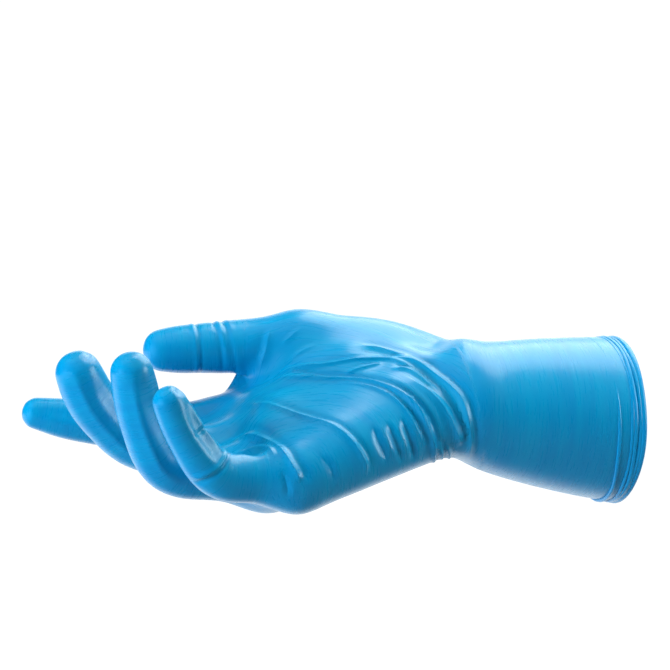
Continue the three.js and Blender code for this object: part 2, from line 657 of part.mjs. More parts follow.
const mesh = solid.getMesh();
const geometry = new THREE.BufferGeometry();
geometry.setAttribute("position", new THREE.Float32BufferAttribute(mesh.vertProperties, 3));
geometry.setIndex(Array.from(mesh.triVerts));
geometry.computeVertexNormals();

const nitrile = new THREE.MeshStandardMaterial({ color: 0x1592cc, roughness: 0.38, metalness: 0 });
nitrile.name = "nitrile";
const glove = new THREE.Mesh(geometry, nitrile);
glove.name = "glove";

const group = new THREE.Group();
group.add(glove);
export default group;
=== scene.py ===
"""A blue nitrile examination glove, filled out as when worn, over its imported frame.

The whole film is one surface: a cage of quads is laid over a body of melted round bars, smoothed, and then
lifted along its normals by folds and wrinkles. Lengths are millimetres until a mesh is made.
"""

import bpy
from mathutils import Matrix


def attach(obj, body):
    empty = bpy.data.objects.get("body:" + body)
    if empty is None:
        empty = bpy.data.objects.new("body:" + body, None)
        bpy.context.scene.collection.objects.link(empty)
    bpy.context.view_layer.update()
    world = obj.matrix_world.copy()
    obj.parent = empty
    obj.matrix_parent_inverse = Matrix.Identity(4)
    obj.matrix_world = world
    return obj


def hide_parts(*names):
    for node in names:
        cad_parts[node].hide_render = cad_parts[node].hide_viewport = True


bl_info = {
    "name": "Nitrile Examination Glove",
    "version": (1, 0, 0),
    "blender": (4, 5, 0),
    "location": "3D View > Sidebar > Glove",
    "description": "Builds a worn disposable glove with its folds, rolled rim, film and studio",
    "category": "Object",
}

from math import cos, pi, radians, sin

import bpy
import numpy as np
from mathutils import Vector

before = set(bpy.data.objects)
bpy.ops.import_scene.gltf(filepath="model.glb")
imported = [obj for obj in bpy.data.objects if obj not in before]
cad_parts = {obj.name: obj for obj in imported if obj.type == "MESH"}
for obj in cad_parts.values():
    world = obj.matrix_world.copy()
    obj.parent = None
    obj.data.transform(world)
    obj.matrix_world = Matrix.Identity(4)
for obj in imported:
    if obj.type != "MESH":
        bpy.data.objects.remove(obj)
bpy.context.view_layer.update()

# The filled-out glove from wrist to middle fingertip, across its knuckles and through its palm.
REACH = 184.0
PALM_WIDTH = 84.0
PALM_DEPTH = 27.0
FINGER_DIAMETER = 19.6
THUMB_DIAMETER = 21.0
WRIST_WIDTH = 58.0
WRIST_DEPTH = 48.0

# The cuff, from the wrist to the end of its rolled rim.
CUFF_LENGTH = 67.4
CUFF_DIAMETER = 65.0
WRIST_RISE = 6.8
WRIST_SHIFT = -2.2
ROLL_WIDTH = 12.0
ROLL_THICKNESS = 2.6
FILM = 1.0

# How the palm stands to the cuff, in degrees.
PALM_DROP = 11.5
PALM_YAW = 6.8
PALM_ROLL = 17.5

# Knuckle: shares of REACH, PALM_WIDTH and PALM_DEPTH. Bones: shares of REACH. Girth: at knuckle, two
# joints and tip, as shares of FINGER_DIAMETER. Bends: degrees at knuckle and two joints.
FINGERS = [
    dict(name="index", knuckle=(0.451, 0.321, -0.04), bones=(0.216, 0.122, 0.124),
         girth=(1, 0.95, 0.84, 0.64), splay=4.4, bends=(9.8, 7.5, 5.1)),
    dict(name="middle", knuckle=(0.462, 0.06, -0.15), bones=(0.229, 0.139, 0.118),
         girth=(1.02, 0.95, 0.98, 0.9), splay=-3.7, bends=(17, 42, 20)),
    dict(name="ring", knuckle=(0.429, -0.179, -0.26), bones=(0.222, 0.142, 0.129),
         girth=(1.03, 0.98, 0.88, 0.81), splay=-7.8, bends=(18.5, 59.5, 13)),
    dict(name="little", knuckle=(0.38, -0.393, -0.06), bones=(0.173, 0.108, 0.12),
         girth=(1.02, 0.92, 0.75, 0.63), splay=-10.5, bends=(16, 49, 11)),
]

# The thumb: its root as a knuckle, then for each bone its length as a share of REACH, its turn away from
# the fingers and its climb out of the palm in degrees. Girth is a share of THUMB_DIAMETER.
THUMB_ROOT = (0.05, 0.31, 0.38)
THUMB_BONES = [
    dict(length=0.253, turn=9.8, climb=17.7),
    dict(length=0.168, turn=7.5, climb=8.0),
    dict(length=0.168, turn=0.5, climb=8.7),
]
THUMB_GIRTH = (1.24, 1.16, 0.98, 0.82)

# Round bars that fill the palm: places as a knuckle's, thickness at both ends as a share of PALM_DEPTH.
PALM_BARS = [
    dict(name="heel", start=(0.04, -0.02, 0.14), end=(0.2, -0.02, 0.16), thick=(1.1, 1.1)),
    dict(name="outer ball", start=(0.1, -0.18, 0.14), end=(0.3, -0.32, 0.06), thick=(0.88, 0.94)),
    dict(name="thumb ball", start=(0.14, 0.3, 0.55), end=(0.24, 0.34, 0.72), thick=(1.14, 1.08)),
    dict(name="thumb foot", start=(0.1, 0.14, 0.36), end=(0.28, 0.2, 0.44), thick=(1.1, 1.06)),
    dict(name="hollow", start=(0.1, 0, 0.32), end=(0.38, -0.04, 0.26), thick=(1, 0.92)),
    dict(name="outer hollow", start=(0.14, -0.15, 0.24), end=(0.4, -0.2, 0.14), thick=(0.96, 0.92)),
    dict(name="inner hollow", start=(0.2, 0.15, 0.46), end=(0.4, 0.15, 0.22), thick=(1.1, 0.86)),
    dict(name="thumb side", start=(0.02, 0.2, 0.12), end=(0.16, 0.3, 0.4), thick=(1, 1)),
    dict(name="back of the web", start=(0.16, 0.33, 0.3), end=(0.32, 0.35, 0.26), thick=(0.86, 0.7)),
    dict(name="first web", start=(0.31, 0.36, 0.55), end=(0.41, 0.34, 0.05), thick=(0.56, 0.56)),
]

# Bars from the heel to the knuckles and on along the fingers: where they start and gather, and how thick
# they are. BLEND is how far bars melt together. All are shares, and WRIST_FADE is the wrist post's slope.
KNUCKLE_GIRTH = 0.97
KNUCKLE_GATHER = 0.45
KNUCKLE_FOOT = 0.05
FINGER_SWELL = 1.06
BLEND = 0.3
WRIST_FADE = 0.75

# The cuff between mouth and wrist: how far along, how far narrowed and how far lifted, as shares.
CUFF_SECTIONS = np.array([
    (0.02, 0, 0),
    (0.16, 0.06, 0.1),
    (0.36, 0.24, 0.28),
    (0.6, 0.52, 0.52),
    (0.82, 0.84, 0.8),
])

# Where the skin of the palm ends and each digit's begins.
ROOT_AT = 0.42
ROOT_SWELL = 1.04
WEB_AT = 0.52
THUMB_ROOT_AT = 0.65
THENAR_FOOT = 0.12

# A digit's line is rounded over a share of its shortest bone, as the mean of so many places.
CORNER_WINDOW = 0.45
CORNER_PLACES = 8

# The cage of quads.
FINGER_SPANS = 3
RADIAL_SPANS = 8
THUMB_SPANS = 4
PALM_ROWS = np.array([0, 0.07, 0.14, 0.21, 0.28, 0.35, 0.42, 0.49, 0.56, 0.68, 0.76, 0.84, 0.92])
THUMB_ROW = 8
FINGER_RINGS = 8
THUMB_RINGS = 6
TIP_ANGLES = (0, 30, 55)
INDEX_CORNER_ANGLE = 72
EVENING_TIMES = 24


def lerp(a, b, t):
    """The place at share t of the way from a to b."""
    return a + (b - a) * t


def ease(t):
    """A share that starts and ends gently: three t squared less two t cubed."""
    t = np.clip(t, 0, 1)
    return t * t * (3 - 2 * t)


def unit(v):
    """Directions scaled to length one."""
    return v / np.linalg.norm(v, axis=-1, keepdims=True)


# The shape is worked out lying flat: x along the fingers, y to the thumb's side, z up out of the palm,
# from the middle of the wrist. FLAT holds those directions in the part's own frame.
def flat_directions():
    """The level way across is turned about the palm's length by its roll; the third is their cross."""
    drop, yaw, roll = radians(PALM_DROP), radians(PALM_YAW), radians(PALM_ROLL)
    along = np.array([-cos(drop) * cos(yaw), cos(drop) * sin(yaw), -sin(drop)])
    level = unit(np.array([0.0, 1.0, 0.0]) - along * along[1])
    across = level * cos(roll) - np.cross(along, level) * sin(roll)
    return np.array([along, across, unit(np.cross(across, along))])


FLAT = flat_directions()
WRIST = np.array([-CUFF_LENGTH, WRIST_SHIFT, WRIST_RISE])
PLACE = np.array([REACH, PALM_WIDTH, PALM_DEPTH])


def to_part(p):
    """From the flat frame to the part's own."""
    return WRIST + p @ FLAT


def to_flat(p):
    """From the part's own frame to the flat one."""
    return (p - WRIST) @ FLAT.T


def heading(turn, climb):
    """The direction turned to the thumb's side and raised out of the palm, from radians."""
    return np.array([cos(climb) * cos(turn), cos(climb) * sin(turn), sin(climb)])


class Digit:
    """A chain of joints with a radius at each, and the way across it."""

    def __init__(self, root, steps, side, radii):
        self.joints = np.cumsum(np.vstack([root, steps]), axis=0)
        self.side = side
        self.radii = np.array(radii)
        self.lengths = np.linalg.norm(steps, axis=1)
        self.stops = np.r_[0, np.cumsum(self.lengths)]
        self.length = self.stops[-1]

    def bent(self, s):
        """Places at distances s along the bent line, carried on straight past its ends."""
        i = np.clip(np.searchsorted(self.stops, s, side="left") - 1, 0, len(self.lengths) - 1)
        share = (s - self.stops[i]) / self.lengths[i]
        return lerp(self.joints[i], self.joints[i + 1], share[..., None])

    def line(self, s):
        """The bent line with rounded corners: the mean of places in a window, and its heading."""
        s = np.atleast_1d(np.asarray(s, float))
        window = self.lengths.min() * CORNER_WINDOW
        shifts = window * ((2 * np.arange(CORNER_PLACES) + 1) / CORNER_PLACES - 1)
        middle = self.bent(s[:, None] + shifts).mean(axis=1)
        return middle, unit(self.bent(s + window) - self.bent(s - window))

    def radius(self, s):
        """The radius at distances s, straight between joints."""
        return np.interp(s, self.stops, self.radii)

    def rings(self, s, turns, radius):
        """Points of the rings at distances s: middle, plus side by cosine, less up by sine of the turns."""
        middle, way = self.line(s)
        up = unit(np.cross(way, self.side))
        out = np.cos(turns)[None, :, None] * self.side - np.sin(turns)[None, :, None] * up[:, None]
        return middle[:, None] + out * np.reshape(radius, (-1, 1, 1))


def finger(spec):
    """A finger's chain: each bone is raised by the bends so far and splayed by one angle."""
    splay = radians(spec["splay"])
    bends = np.cumsum(np.radians(spec["bends"]))
    steps = np.array([heading(splay, bend) * bone * REACH for bone, bend in zip(spec["bones"], bends)])
    side = heading(splay + pi / 2, 0)
    radii = np.array(spec["girth"]) * FINGER_DIAMETER / 2
    return Digit(np.array(spec["knuckle"]) * PLACE, steps, side, radii)


def thumb_chain():
    """The thumb's chain from its table."""
    steps = np.array([heading(radians(b["turn"]), radians(b["climb"])) * b["length"] * REACH
                      for b in THUMB_BONES])
    side = np.array([0.0, 1.0, 0.0])
    return Digit(np.array(THUMB_ROOT) * PLACE, steps, side, np.array(THUMB_GIRTH) * THUMB_DIAMETER / 2)


FINGER_CHAINS = [finger(spec) for spec in FINGERS]
THUMB = thumb_chain()


def body_bars():
    """Every bar of the palm's body as start, end and two radii."""
    bars = [(np.array(b["start"]) * PLACE, np.array(b["end"]) * PLACE,
             np.array(b["thick"]) * PALM_DEPTH / 2) for b in PALM_BARS]
    for chain in FINGER_CHAINS:
        knuckle = chain.joints[0]
        foot = np.array([KNUCKLE_FOOT * REACH, knuckle[1] * KNUCKLE_GATHER, 0])
        bars.append((foot, knuckle, np.array([0.9, 1]) * KNUCKLE_GIRTH * PALM_DEPTH / 2))
    for chain in FINGER_CHAINS:
        bars.append((chain.joints[0], chain.joints[1], chain.radii[:2] * (FINGER_SWELL, 1)))
    for i in (0, 1):
        bars.append((THUMB.joints[i], THUMB.joints[i + 1], THUMB.radii[i:i + 2]))
    return bars


BARS = body_bars()


def body_distance(p):
    """Distance to the palm's body: an oval wrist post that fades out, and bars melted into it.

    Two distances a and b melt as the smaller less w/4 times the square of (w - |a - b|)/w, where positive.
    """
    share = np.hypot(p[..., 1] / (WRIST_WIDTH / 2), p[..., 2] / (WRIST_DEPTH / 2))
    distance = (share - 1) * WRIST_DEPTH / 2 + np.maximum(0, p[..., 0]) * WRIST_FADE
    width = BLEND * PALM_DEPTH
    for start, end, radii in BARS:
        span = end - start
        t = np.clip((p - start) @ span / (span @ span), 0, 1)
        bar = np.linalg.norm(p - start - t[..., None] * span, axis=-1) - lerp(radii[0], radii[1], t)
        overlap = np.maximum(width - np.abs(distance - bar), 0) / width
        distance = np.minimum(distance, bar) - overlap * overlap * width / 4
    return distance


def onto_body(p, times=2):
    """Points slid to the body's surface: each less slope times distance over slope squared."""
    step = 0.1
    for _ in range(times):
        here = body_distance(p)
        slope = np.stack([(body_distance(p + step * axis) - here) / step for axis in np.eye(3)], axis=-1)
        p = p - slope * (here / (slope ** 2).sum(-1))[..., None]
    return p


def cross_way(turn):
    """A way straight across the palm, turned from the thumb's side over the back."""
    return np.stack([np.zeros_like(turn), np.cos(turn), -np.sin(turn)], axis=-1)


def cast(origin, way):
    """Where rays from inside the body leave it for the last time: steps from outside, then halving."""
    radii = np.arange(PALM_WIDTH, 0.5, -1.0)
    samples = body_distance(origin[None] + way[None] * radii.reshape(-1, *[1] * origin.ndim))
    outside = radii[np.argmax(samples <= 0, axis=0)] + 1
    inside = outside - 1
    for _ in range(16):
        middle = (inside + outside) / 2
        out = body_distance(origin + way * middle[..., None]) > 0
        outside = np.where(out, middle, outside)
        inside = np.where(out, inside, middle)
    return origin + way * inside[..., None]


# Columns round the palm: over the back from index to little, the outer edge, over the palm from little to
# index, then down the thumb's side.
BACK_LAST = 4 * FINGER_SPANS
OUTER = BACK_LAST + 1
PALM_FIRST = OUTER + 1
RADIAL_FIRST = PALM_FIRST + BACK_LAST
COLUMNS = RADIAL_FIRST + RADIAL_SPANS
SIDE_FIRST = RADIAL_FIRST + THUMB_SPANS + 1
THUMB_STEP = 180 / (THUMB_SPANS + 1)
WRIST_TURNS = pi + 2 * pi * (np.arange(COLUMNS) - OUTER) / COLUMNS


def finger_turns(k):
    """Turns of a finger ring's points: upper corners, outer side, lower corners, inner side."""
    corner = 360 / (2 * FINGER_SPANS + 4)
    first = INDEX_CORNER_ANGLE if k == 0 else corner
    back = np.linspace(first, 180 - corner, FINGER_SPANS + 1)
    front = np.linspace(180 + corner, 360 - first, FINGER_SPANS + 1)
    inner = [360] if k else np.linspace(360 - first, 360 + first, RADIAL_SPANS + 1)[1:-1]
    return np.radians(np.r_[back, 180, front, inner])


def thumb_turns(upper):
    """Turns of the four points of the thumb ring's upper or lower half."""
    shift = (np.arange(THUMB_SPANS + 1) + 0.5) * THUMB_STEP
    return np.radians(180 + shift) if upper else np.radians(180 - shift)


def knuckle_row():
    """The last row of the palm: the roots of the fingers, with corners shared by neighbours averaged."""
    row = np.zeros((COLUMNS, 3))
    count = np.zeros(COLUMNS)
    for k, chain in enumerate(FINGER_CHAINS):
        s = chain.lengths[0] * ROOT_AT
        ring = chain.rings([s], finger_turns(k), [chain.radius(s) * ROOT_SWELL])[0]
        back = k * FINGER_SPANS + np.arange(FINGER_SPANS + 1)
        front = PALM_FIRST + (3 - k) * FINGER_SPANS + np.arange(FINGER_SPANS + 1)
        row[back] += ring[:FINGER_SPANS + 1]
        row[front] += ring[FINGER_SPANS + 2:2 * FINGER_SPANS + 3]
        count[back] += 1
        count[front] += 1
        if k == 0:
            row[RADIAL_FIRST + 1:] = ring[2 * FINGER_SPANS + 3:]
            count[RADIAL_FIRST + 1:] = 1
        if k == 3:
            row[OUTER] = ring[FINGER_SPANS + 1]
            count[OUTER] = 1
    return row / count[:, None]


def palm_rays(t, last):
    """Where each column's rays start in the rows at shares t, and their turns in degrees.

    At 0 a ray goes to the thumb's side, at 90 out of the back, at 180 to the outer edge and at 270 out of
    the palm.
    """
    origin = np.zeros((len(t), COLUMNS, 3))
    turn = np.zeros((len(t), COLUMNS))
    origin[..., 0] = t[:, None] * last[:, 0]
    gather = lerp(KNUCKLE_GATHER, 1, t)
    little = (FINGER_CHAINS[3].joints[0][1] * gather)[:, None]
    index = (FINGER_CHAINS[0].joints[0][1] * gather)[:, None]
    back = np.arange(BACK_LAST + 1)
    origin[:, back, 1] = lerp(index, little, np.clip((back / FINGER_SPANS - 0.5) / 3, 0, 1))
    turn[:, back] = 90
    turn[:, 0] = 45
    turn[:, BACK_LAST] = 135
    origin[:, OUTER, 1] = little[:, 0]
    turn[:, OUTER] = 180
    palm = np.arange(PALM_FIRST, RADIAL_FIRST)
    foot = lerp(THENAR_FOOT * PALM_WIDTH, last[RADIAL_FIRST, 1], ease((t - 0.6) / 0.4))[:, None]
    origin[:, palm, 1] = lerp(little, foot, (palm - PALM_FIRST) / BACK_LAST)
    turn[:, palm] = 270
    turn[:, PALM_FIRST] = 225
    s = lerp(0.1 * THUMB.lengths[0], thumb_root(), t / PALM_ROWS[THUMB_ROW])
    origin[:, RADIAL_FIRST:SIDE_FIRST] = THUMB.line(s)[0][:, None]
    turn[:, RADIAL_FIRST:SIDE_FIRST] = np.degrees(thumb_turns(True))
    fall = (np.arange(SIDE_FIRST, COLUMNS) - RADIAL_FIRST - THUMB_SPANS) / (RADIAL_SPANS - THUMB_SPANS)
    origin[:, SIDE_FIRST:, 1] = index
    origin[:, SIDE_FIRST:, 2] = lerp(0.45, 0, fall) * PALM_DEPTH
    turn[:, SIDE_FIRST:] = lerp(350, 395, fall)
    return origin, turn


def thumb_root():
    """The distance along the thumb at which it leaves the palm."""
    return THUMB.lengths[0] + THUMB_ROOT_AT * THUMB.lengths[1]


def palm_rows(last):
    """Rows of the palm, cast onto the body; the thumb's ring ends one row and starts the next."""
    origin, turn = palm_rays(PALM_ROWS, last)
    settled = ease(PALM_ROWS / 0.4)[:, None]
    centre = origin * (1, 0, 0)
    turns = lerp(WRIST_TURNS[None], np.radians(turn), settled)
    rows = cast(lerp(centre, origin, settled[..., None]), cross_way(turns))
    s = thumb_root()
    halves = [THUMB.rings([s], thumb_turns(upper), [THUMB.radius(s)])[0] for upper in (True, False)]
    columns = slice(RADIAL_FIRST, SIDE_FIRST)
    rows[THUMB_ROW, columns] = halves[0]
    gone = (PALM_ROWS[THUMB_ROW + 1:] - PALM_ROWS[THUMB_ROW + 1]) / (1 - PALM_ROWS[THUMB_ROW + 1])
    rows[THUMB_ROW + 1:, columns] = lerp(halves[1], last[columns], gone[:, None, None])
    return rows


def cuff_rows():
    """Rows of the cuff: ovals from mouth to wrist, turned and lifted by their shares."""
    place, narrowed, lifted = CUFF_SECTIONS.T[:, :, None]
    turn = WRIST_TURNS
    y = np.cos(turn) * lerp(CUFF_DIAMETER, WRIST_WIDTH, narrowed) / 2
    z = -np.sin(turn) * lerp(CUFF_DIAMETER, WRIST_DEPTH, narrowed) / 2
    roll = radians(PALM_ROLL) * lifted
    x = np.broadcast_to(-CUFF_LENGTH * place, y.shape)
    turned = np.stack([x, y * np.cos(roll) - z * np.sin(roll) + WRIST_SHIFT * lifted,
                       y * np.sin(roll) + z * np.cos(roll) + WRIST_RISE * lifted], axis=-1)
    return to_flat(turned)


class Cage:
    """Points and quads gathered block by block."""

    def __init__(self):
        self.points = np.zeros((0, 3))
        self.quads = np.zeros((0, 4), int)

    def add(self, points):
        """Adds points of any grid shape and gives their numbers in the same shape."""
        flat = np.reshape(points, (-1, 3))
        first = len(self.points)
        self.points = np.vstack([self.points, flat])
        return np.arange(first, first + len(flat)).reshape(np.shape(points)[:-1])

    def skin(self, ids, holes=()):
        """Quads between neighbouring rows of a grid that closes round, but for holes (row, column)."""
        after = np.roll(ids, -1, axis=1)
        quads = np.stack([ids[:-1], after[:-1], after[1:], ids[1:]], axis=-1)
        keep = np.ones(quads.shape[:2], bool)
        for row, column in holes:
            keep[row, column] = False
        self.quads = np.vstack([self.quads, quads[keep]])

    def digit(self, chain, root_ids, turns, root_at, count):
        """A digit from its root's points to its tip: rings, two rings on a round end, and a pole."""
        tip = chain.radii[-1]
        last = chain.length - tip
        s = lerp(root_at, last, np.arange(1, count) / count)
        rings = chain.rings(s, turns, chain.radius(s))
        angles = np.radians(TIP_ANGLES)
        middle, way = chain.line(last)
        ends = chain.rings(np.full(len(angles), last), turns, tip * np.cos(angles))
        ends = ends + way * tip * np.sin(angles)[:, None, None]
        ids = np.vstack([root_ids, self.add(np.vstack([rings, ends]))])
        self.skin(ids)
        pole = self.add(middle + way * tip)[0]
        around = ids[-1]
        even = np.arange(0, len(around), 2)
        middle = np.full(len(even), pole)
        fan = np.stack([around[even - 1], around[even], around[even + 1], middle], axis=-1)
        self.quads = np.vstack([self.quads, fan])


def neighbours(quads):
    """Edges of a quad mesh: their ends, each quad's four edges, and how many quads share each."""
    sides = np.stack([quads, np.roll(quads, -1, axis=1)], axis=-1).reshape(-1, 2)
    sides = np.sort(sides, axis=1)
    edges, inverse, count = np.unique(sides, axis=0, return_inverse=True, return_counts=True)
    return edges, inverse.reshape(-1, 4), count


def summed(values, ids, size):
    """Rows of values added up by their ids."""
    return np.stack([np.bincount(ids, values[:, k], size) for k in range(values.shape[1])], axis=-1)


def surroundings(points, quads):
    """For every point, sums of its neighbours over edges, across quads and along an open rim."""
    size = len(points)
    edges, _, count = neighbours(quads)
    pairs = np.vstack([edges, edges[:, ::-1]])
    beside = summed(points[pairs[:, 1]], pairs[:, 0], size)
    n = np.bincount(pairs[:, 0], minlength=size)[:, None]
    across = summed(points[np.roll(quads, 2, axis=1).ravel()], quads.ravel(), size)
    rim = pairs[np.tile(count == 1, 2)]
    along = summed(points[rim[:, 1]], rim[:, 0], size)
    is_open = (np.bincount(rim[:, 0], minlength=size) > 0)[:, None]
    return beside, across, along, n, is_open


def limit(points, quads):
    """Where Catmull-Clark smoothing brings each point in the end."""
    beside, across, along, n, is_open = surroundings(points, quads)
    inner = (points * n * n + beside * 4 + across) / (n * (n + 5))
    return np.where(is_open, (points * 4 + along) / 6, inner)


def through(points, quads):
    """Control points whose smooth surface passes through the given points."""
    held = points
    for _ in range(6):
        held = held + points - limit(held, quads)
    return held


def subdivide(points, quads):
    """One round of Catmull-Clark smoothing: every quad becomes four."""
    size = len(points)
    edges, quad_edges, count = neighbours(quads)
    beside, across, along, n, is_open = surroundings(points, quads)
    own = (points * (4 * n * n - 7 * n) + beside * 6 + across) / (4 * n * n)
    own = np.where(is_open, (points * 6 + along) / 8, own)
    centres = points[quads].mean(axis=1)
    middles = points[edges].mean(axis=1)
    beside_edge = summed(np.repeat(centres, 4, axis=0), quad_edges.ravel(), len(edges))
    middles = np.where((count == 2)[:, None], (middles * 2 + beside_edge) / 4, middles)
    centre_ids = size + np.arange(len(quads))
    edge_ids = size + len(quads) + quad_edges
    centre = np.broadcast_to(centre_ids[:, None], quads.shape)
    smaller = np.stack([quads, edge_ids, centre, np.roll(edge_ids, 1, axis=1)], axis=-1)
    return np.vstack([own, centres, middles]), smaller.reshape(-1, 4)


def point_normals(points, quads):
    """The outward normal at each point: the sum of its quads' diagonals crossed, to length one.

    The flat frame mirrors the part's own, so the second diagonal comes first.
    """
    corners = points[quads]
    cross = np.cross(corners[:, 3] - corners[:, 1], corners[:, 2] - corners[:, 0])
    return unit(summed(np.repeat(cross, 4, axis=0), quads.ravel(), len(points)))


def film_cage():
    """The whole cage in the flat frame, its palm evened out over the body."""
    cage = Cage()
    last = knuckle_row()
    palm = palm_rows(last)
    ids = cage.add(np.vstack([cuff_rows(), palm, last[None]]))
    thumb_row = len(CUFF_SECTIONS) + THUMB_ROW
    cage.skin(ids, [(thumb_row, RADIAL_FIRST + i) for i in range(THUMB_SPANS)])
    web_at = [chain.line(chain.lengths[0] * WEB_AT)[0][0] for chain in FINGER_CHAINS]
    webs = cage.add(lerp(np.array(web_at[:-1]), np.array(web_at[1:]), 0.5))
    for k, chain in enumerate(FINGER_CHAINS):
        back = ids[-1][k * FINGER_SPANS:(k + 1) * FINGER_SPANS + 1]
        first = PALM_FIRST + (3 - k) * FINGER_SPANS
        front = ids[-1][first:first + FINGER_SPANS + 1]
        outer = ids[-1][OUTER] if k == 3 else webs[k]
        inner = ids[-1][RADIAL_FIRST + 1:] if k == 0 else webs[k - 1:k]
        root = np.r_[back, outer, front, inner]
        cage.digit(chain, root, finger_turns(k), chain.lengths[0] * ROOT_AT, FINGER_RINGS)
    columns = slice(RADIAL_FIRST, SIDE_FIRST)
    root = np.r_[ids[thumb_row][columns], ids[thumb_row + 1][columns][::-1]]
    turns = np.r_[thumb_turns(True), thumb_turns(False)[::-1]]
    cage.digit(THUMB, root, turns, thumb_root(), THUMB_RINGS)
    moving = ids[len(CUFF_SECTIONS):].ravel()
    for _ in range(EVENING_TIMES):
        beside, _, _, n, _ = surroundings(cage.points, cage.quads)
        cage.points[moving] = onto_body(lerp(cage.points, beside / n, 0.5)[moving])
    return cage


# Folds drawn over the palm. Places are shares of REACH, PALM_WIDTH and PALM_DEPTH. Height and width are
# millimetres, and lean is the share of the height that the hollow on the far side goes down.
FOLDS = [
    dict(name="upper palm", height=1.1, width=1.1, lean=0.5,
         path=((0.437, 0.114, 0.52), (0.381, -0.136, 0.65), (0.292, -0.367, 0.51), (0.247, -0.465, 0.09),
               (0.249, -0.466, -0.19))),
    dict(name="finger foot", height=1.2, width=1.3, lean=0.6,
         path=((0.5, -0.04, 0.35), (0.432, -0.28, 0.47), (0.39, -0.528, 0.23), (0.386, -0.556, 0.05))),
    dict(name="palm hollow", height=-2.2, width=3.4, lean=0,
         path=((0.54, -0.4, 0.6), (0.48, -0.37, 0.45), (0.44, -0.45, 0.4))),
    dict(name="hollow ring", height=0.9, width=1.3, lean=0.8,
         path=((0.5, -0.25, 0.42), (0.439, -0.356, 0.45), (0.418, -0.485, 0.37))),
    dict(name="palm middle", height=1.2, width=1.1, lean=0.7,
         path=((0.385, 0.194, 0.71), (0.29, 0.018, 0.81), (0.184, -0.138, 0.77), (0.117, -0.296, 0.47),
               (0.088, -0.346, -0.12))),
    dict(name="palm middle echo", height=0.8, width=0.8, lean=0.5,
         path=((0.261, -0.037, 0.79), (0.165, -0.23, 0.68), (0.121, -0.376, 0.19), (0.113, -0.372, -0.1))),
    dict(name="thumb ball", height=0.9, width=0.9, lean=0.4,
         path=((0.378, 0.215, 0.78), (0.264, 0.07, 0.9), (0.128, -0.005, 0.86), (0.063, -0.169, 0.65))),
    dict(name="thumb ball low", height=0.7, width=0.8, lean=0.4,
         path=((0.23, -0.028, 0.81), (0.179, -0.026, 0.87), (0.144, -0.018, 0.87))),
    dict(name="heel upper", height=1.3, width=1.2, lean=0.5,
         path=((0.227, 0.082, 0.97), (0.09, -0.032, 0.82), (0.019, -0.263, 0.51), (0.008, -0.333, -0.06),
               (0.005, -0.189, -0.7))),
    dict(name="heel top", height=0.9, width=1.3, lean=0.4,
         path=((0.186, 0.115, 1.03), (0.118, 0.061, 0.9), (0.025, -0.174, 0.7))),
    dict(name="heel band", height=1.4, width=1.7, lean=0.6,
         path=((0.122, -0.136, 0.77), (0.066, -0.27, 0.46), (0.037, -0.332, 0.01), (0.031, -0.315, -0.26))),
    dict(name="heel band low", height=1.1, width=1.2, lean=0.5,
         path=((0.133, -0.085, 0.82), (0.095, -0.12, 0.74), (0.04, -0.29, 0.39))),
    dict(name="heel low", height=1.2, width=1.1, lean=0.6,
         path=((0.16, -0.172, 0.74), (0.125, -0.264, 0.57), (0.095, -0.35, -0.01), (0.08, -0.308, -0.35))),
    dict(name="outer groove a", height=-0.9, width=1.4, lean=0.5,
         path=((0.213, -0.383, 0.45), (0.206, -0.433, 0.22), (0.196, -0.432, -0.11))),
    dict(name="outer groove b", height=-1.0, width=1.3, lean=0.5,
         path=((0.182, -0.364, 0.45), (0.172, -0.415, 0.15), (0.165, -0.403, -0.19))),
    dict(name="outer groove c", height=-1.0, width=1.2, lean=0.5,
         path=((0.151, -0.347, 0.45), (0.141, -0.396, 0.13), (0.138, -0.373, -0.24))),
    dict(name="outer groove d", height=-0.5, width=1.2, lean=0.4,
         path=((0.337, -0.486, 0.32), (0.319, -0.512, 0.13), (0.317, -0.515, -0.14))),
    dict(name="outer groove e", height=-0.5, width=1.2, lean=0.4,
         path=((0.416, -0.525, 0.27), (0.412, -0.553, 0.09), (0.414, -0.551, -0.12))),
    dict(name="bunch a", height=0.9, width=0.8, lean=0.6,
         path=((0.1, -0.35, 0.05), (0.093, -0.341, -0.2), (0.085, -0.25, -0.6))),
    dict(name="bunch b", height=0.9, width=0.8, lean=0.6,
         path=((0.083, -0.344, 0.0), (0.075, -0.329, -0.21), (0.066, -0.24, -0.6))),
    dict(name="bunch c", height=0.8, width=0.8, lean=0.6,
         path=((0.066, -0.33, -0.1), (0.055, -0.29, -0.35), (0.048, -0.2, -0.7))),
    dict(name="web fan a", height=0.5, width=0.8, lean=0.3,
         path=((0.329, 0.257, 1.13), (0.31, 0.264, 1.21), (0.283, 0.278, 1.29))),
    dict(name="web fan b", height=0.4, width=0.8, lean=0.3,
         path=((0.337, 0.18, 0.89), (0.3, 0.191, 1.04), (0.26, 0.187, 1.11))),
    dict(name="web edge", height=0.7, width=1.2, lean=0.6,
         path=((0.392, 0.258, 0.79), (0.366, 0.28, 1.07), (0.341, 0.346, 1.35))),
]
FOLD_STEPS = 60

# A fold's hollow lies this many widths from its ridge, this wide. A fold fades over a share of 1 over
# FOLD_FADE at both ends, and leaves what is further than FOLD_DEPTH millimetres off its skin alone.
HOLLOW_AT = 1.9
HOLLOW_WIDTH = 1.3
FOLD_FADE = 3.5
FOLD_DEPTH = 5

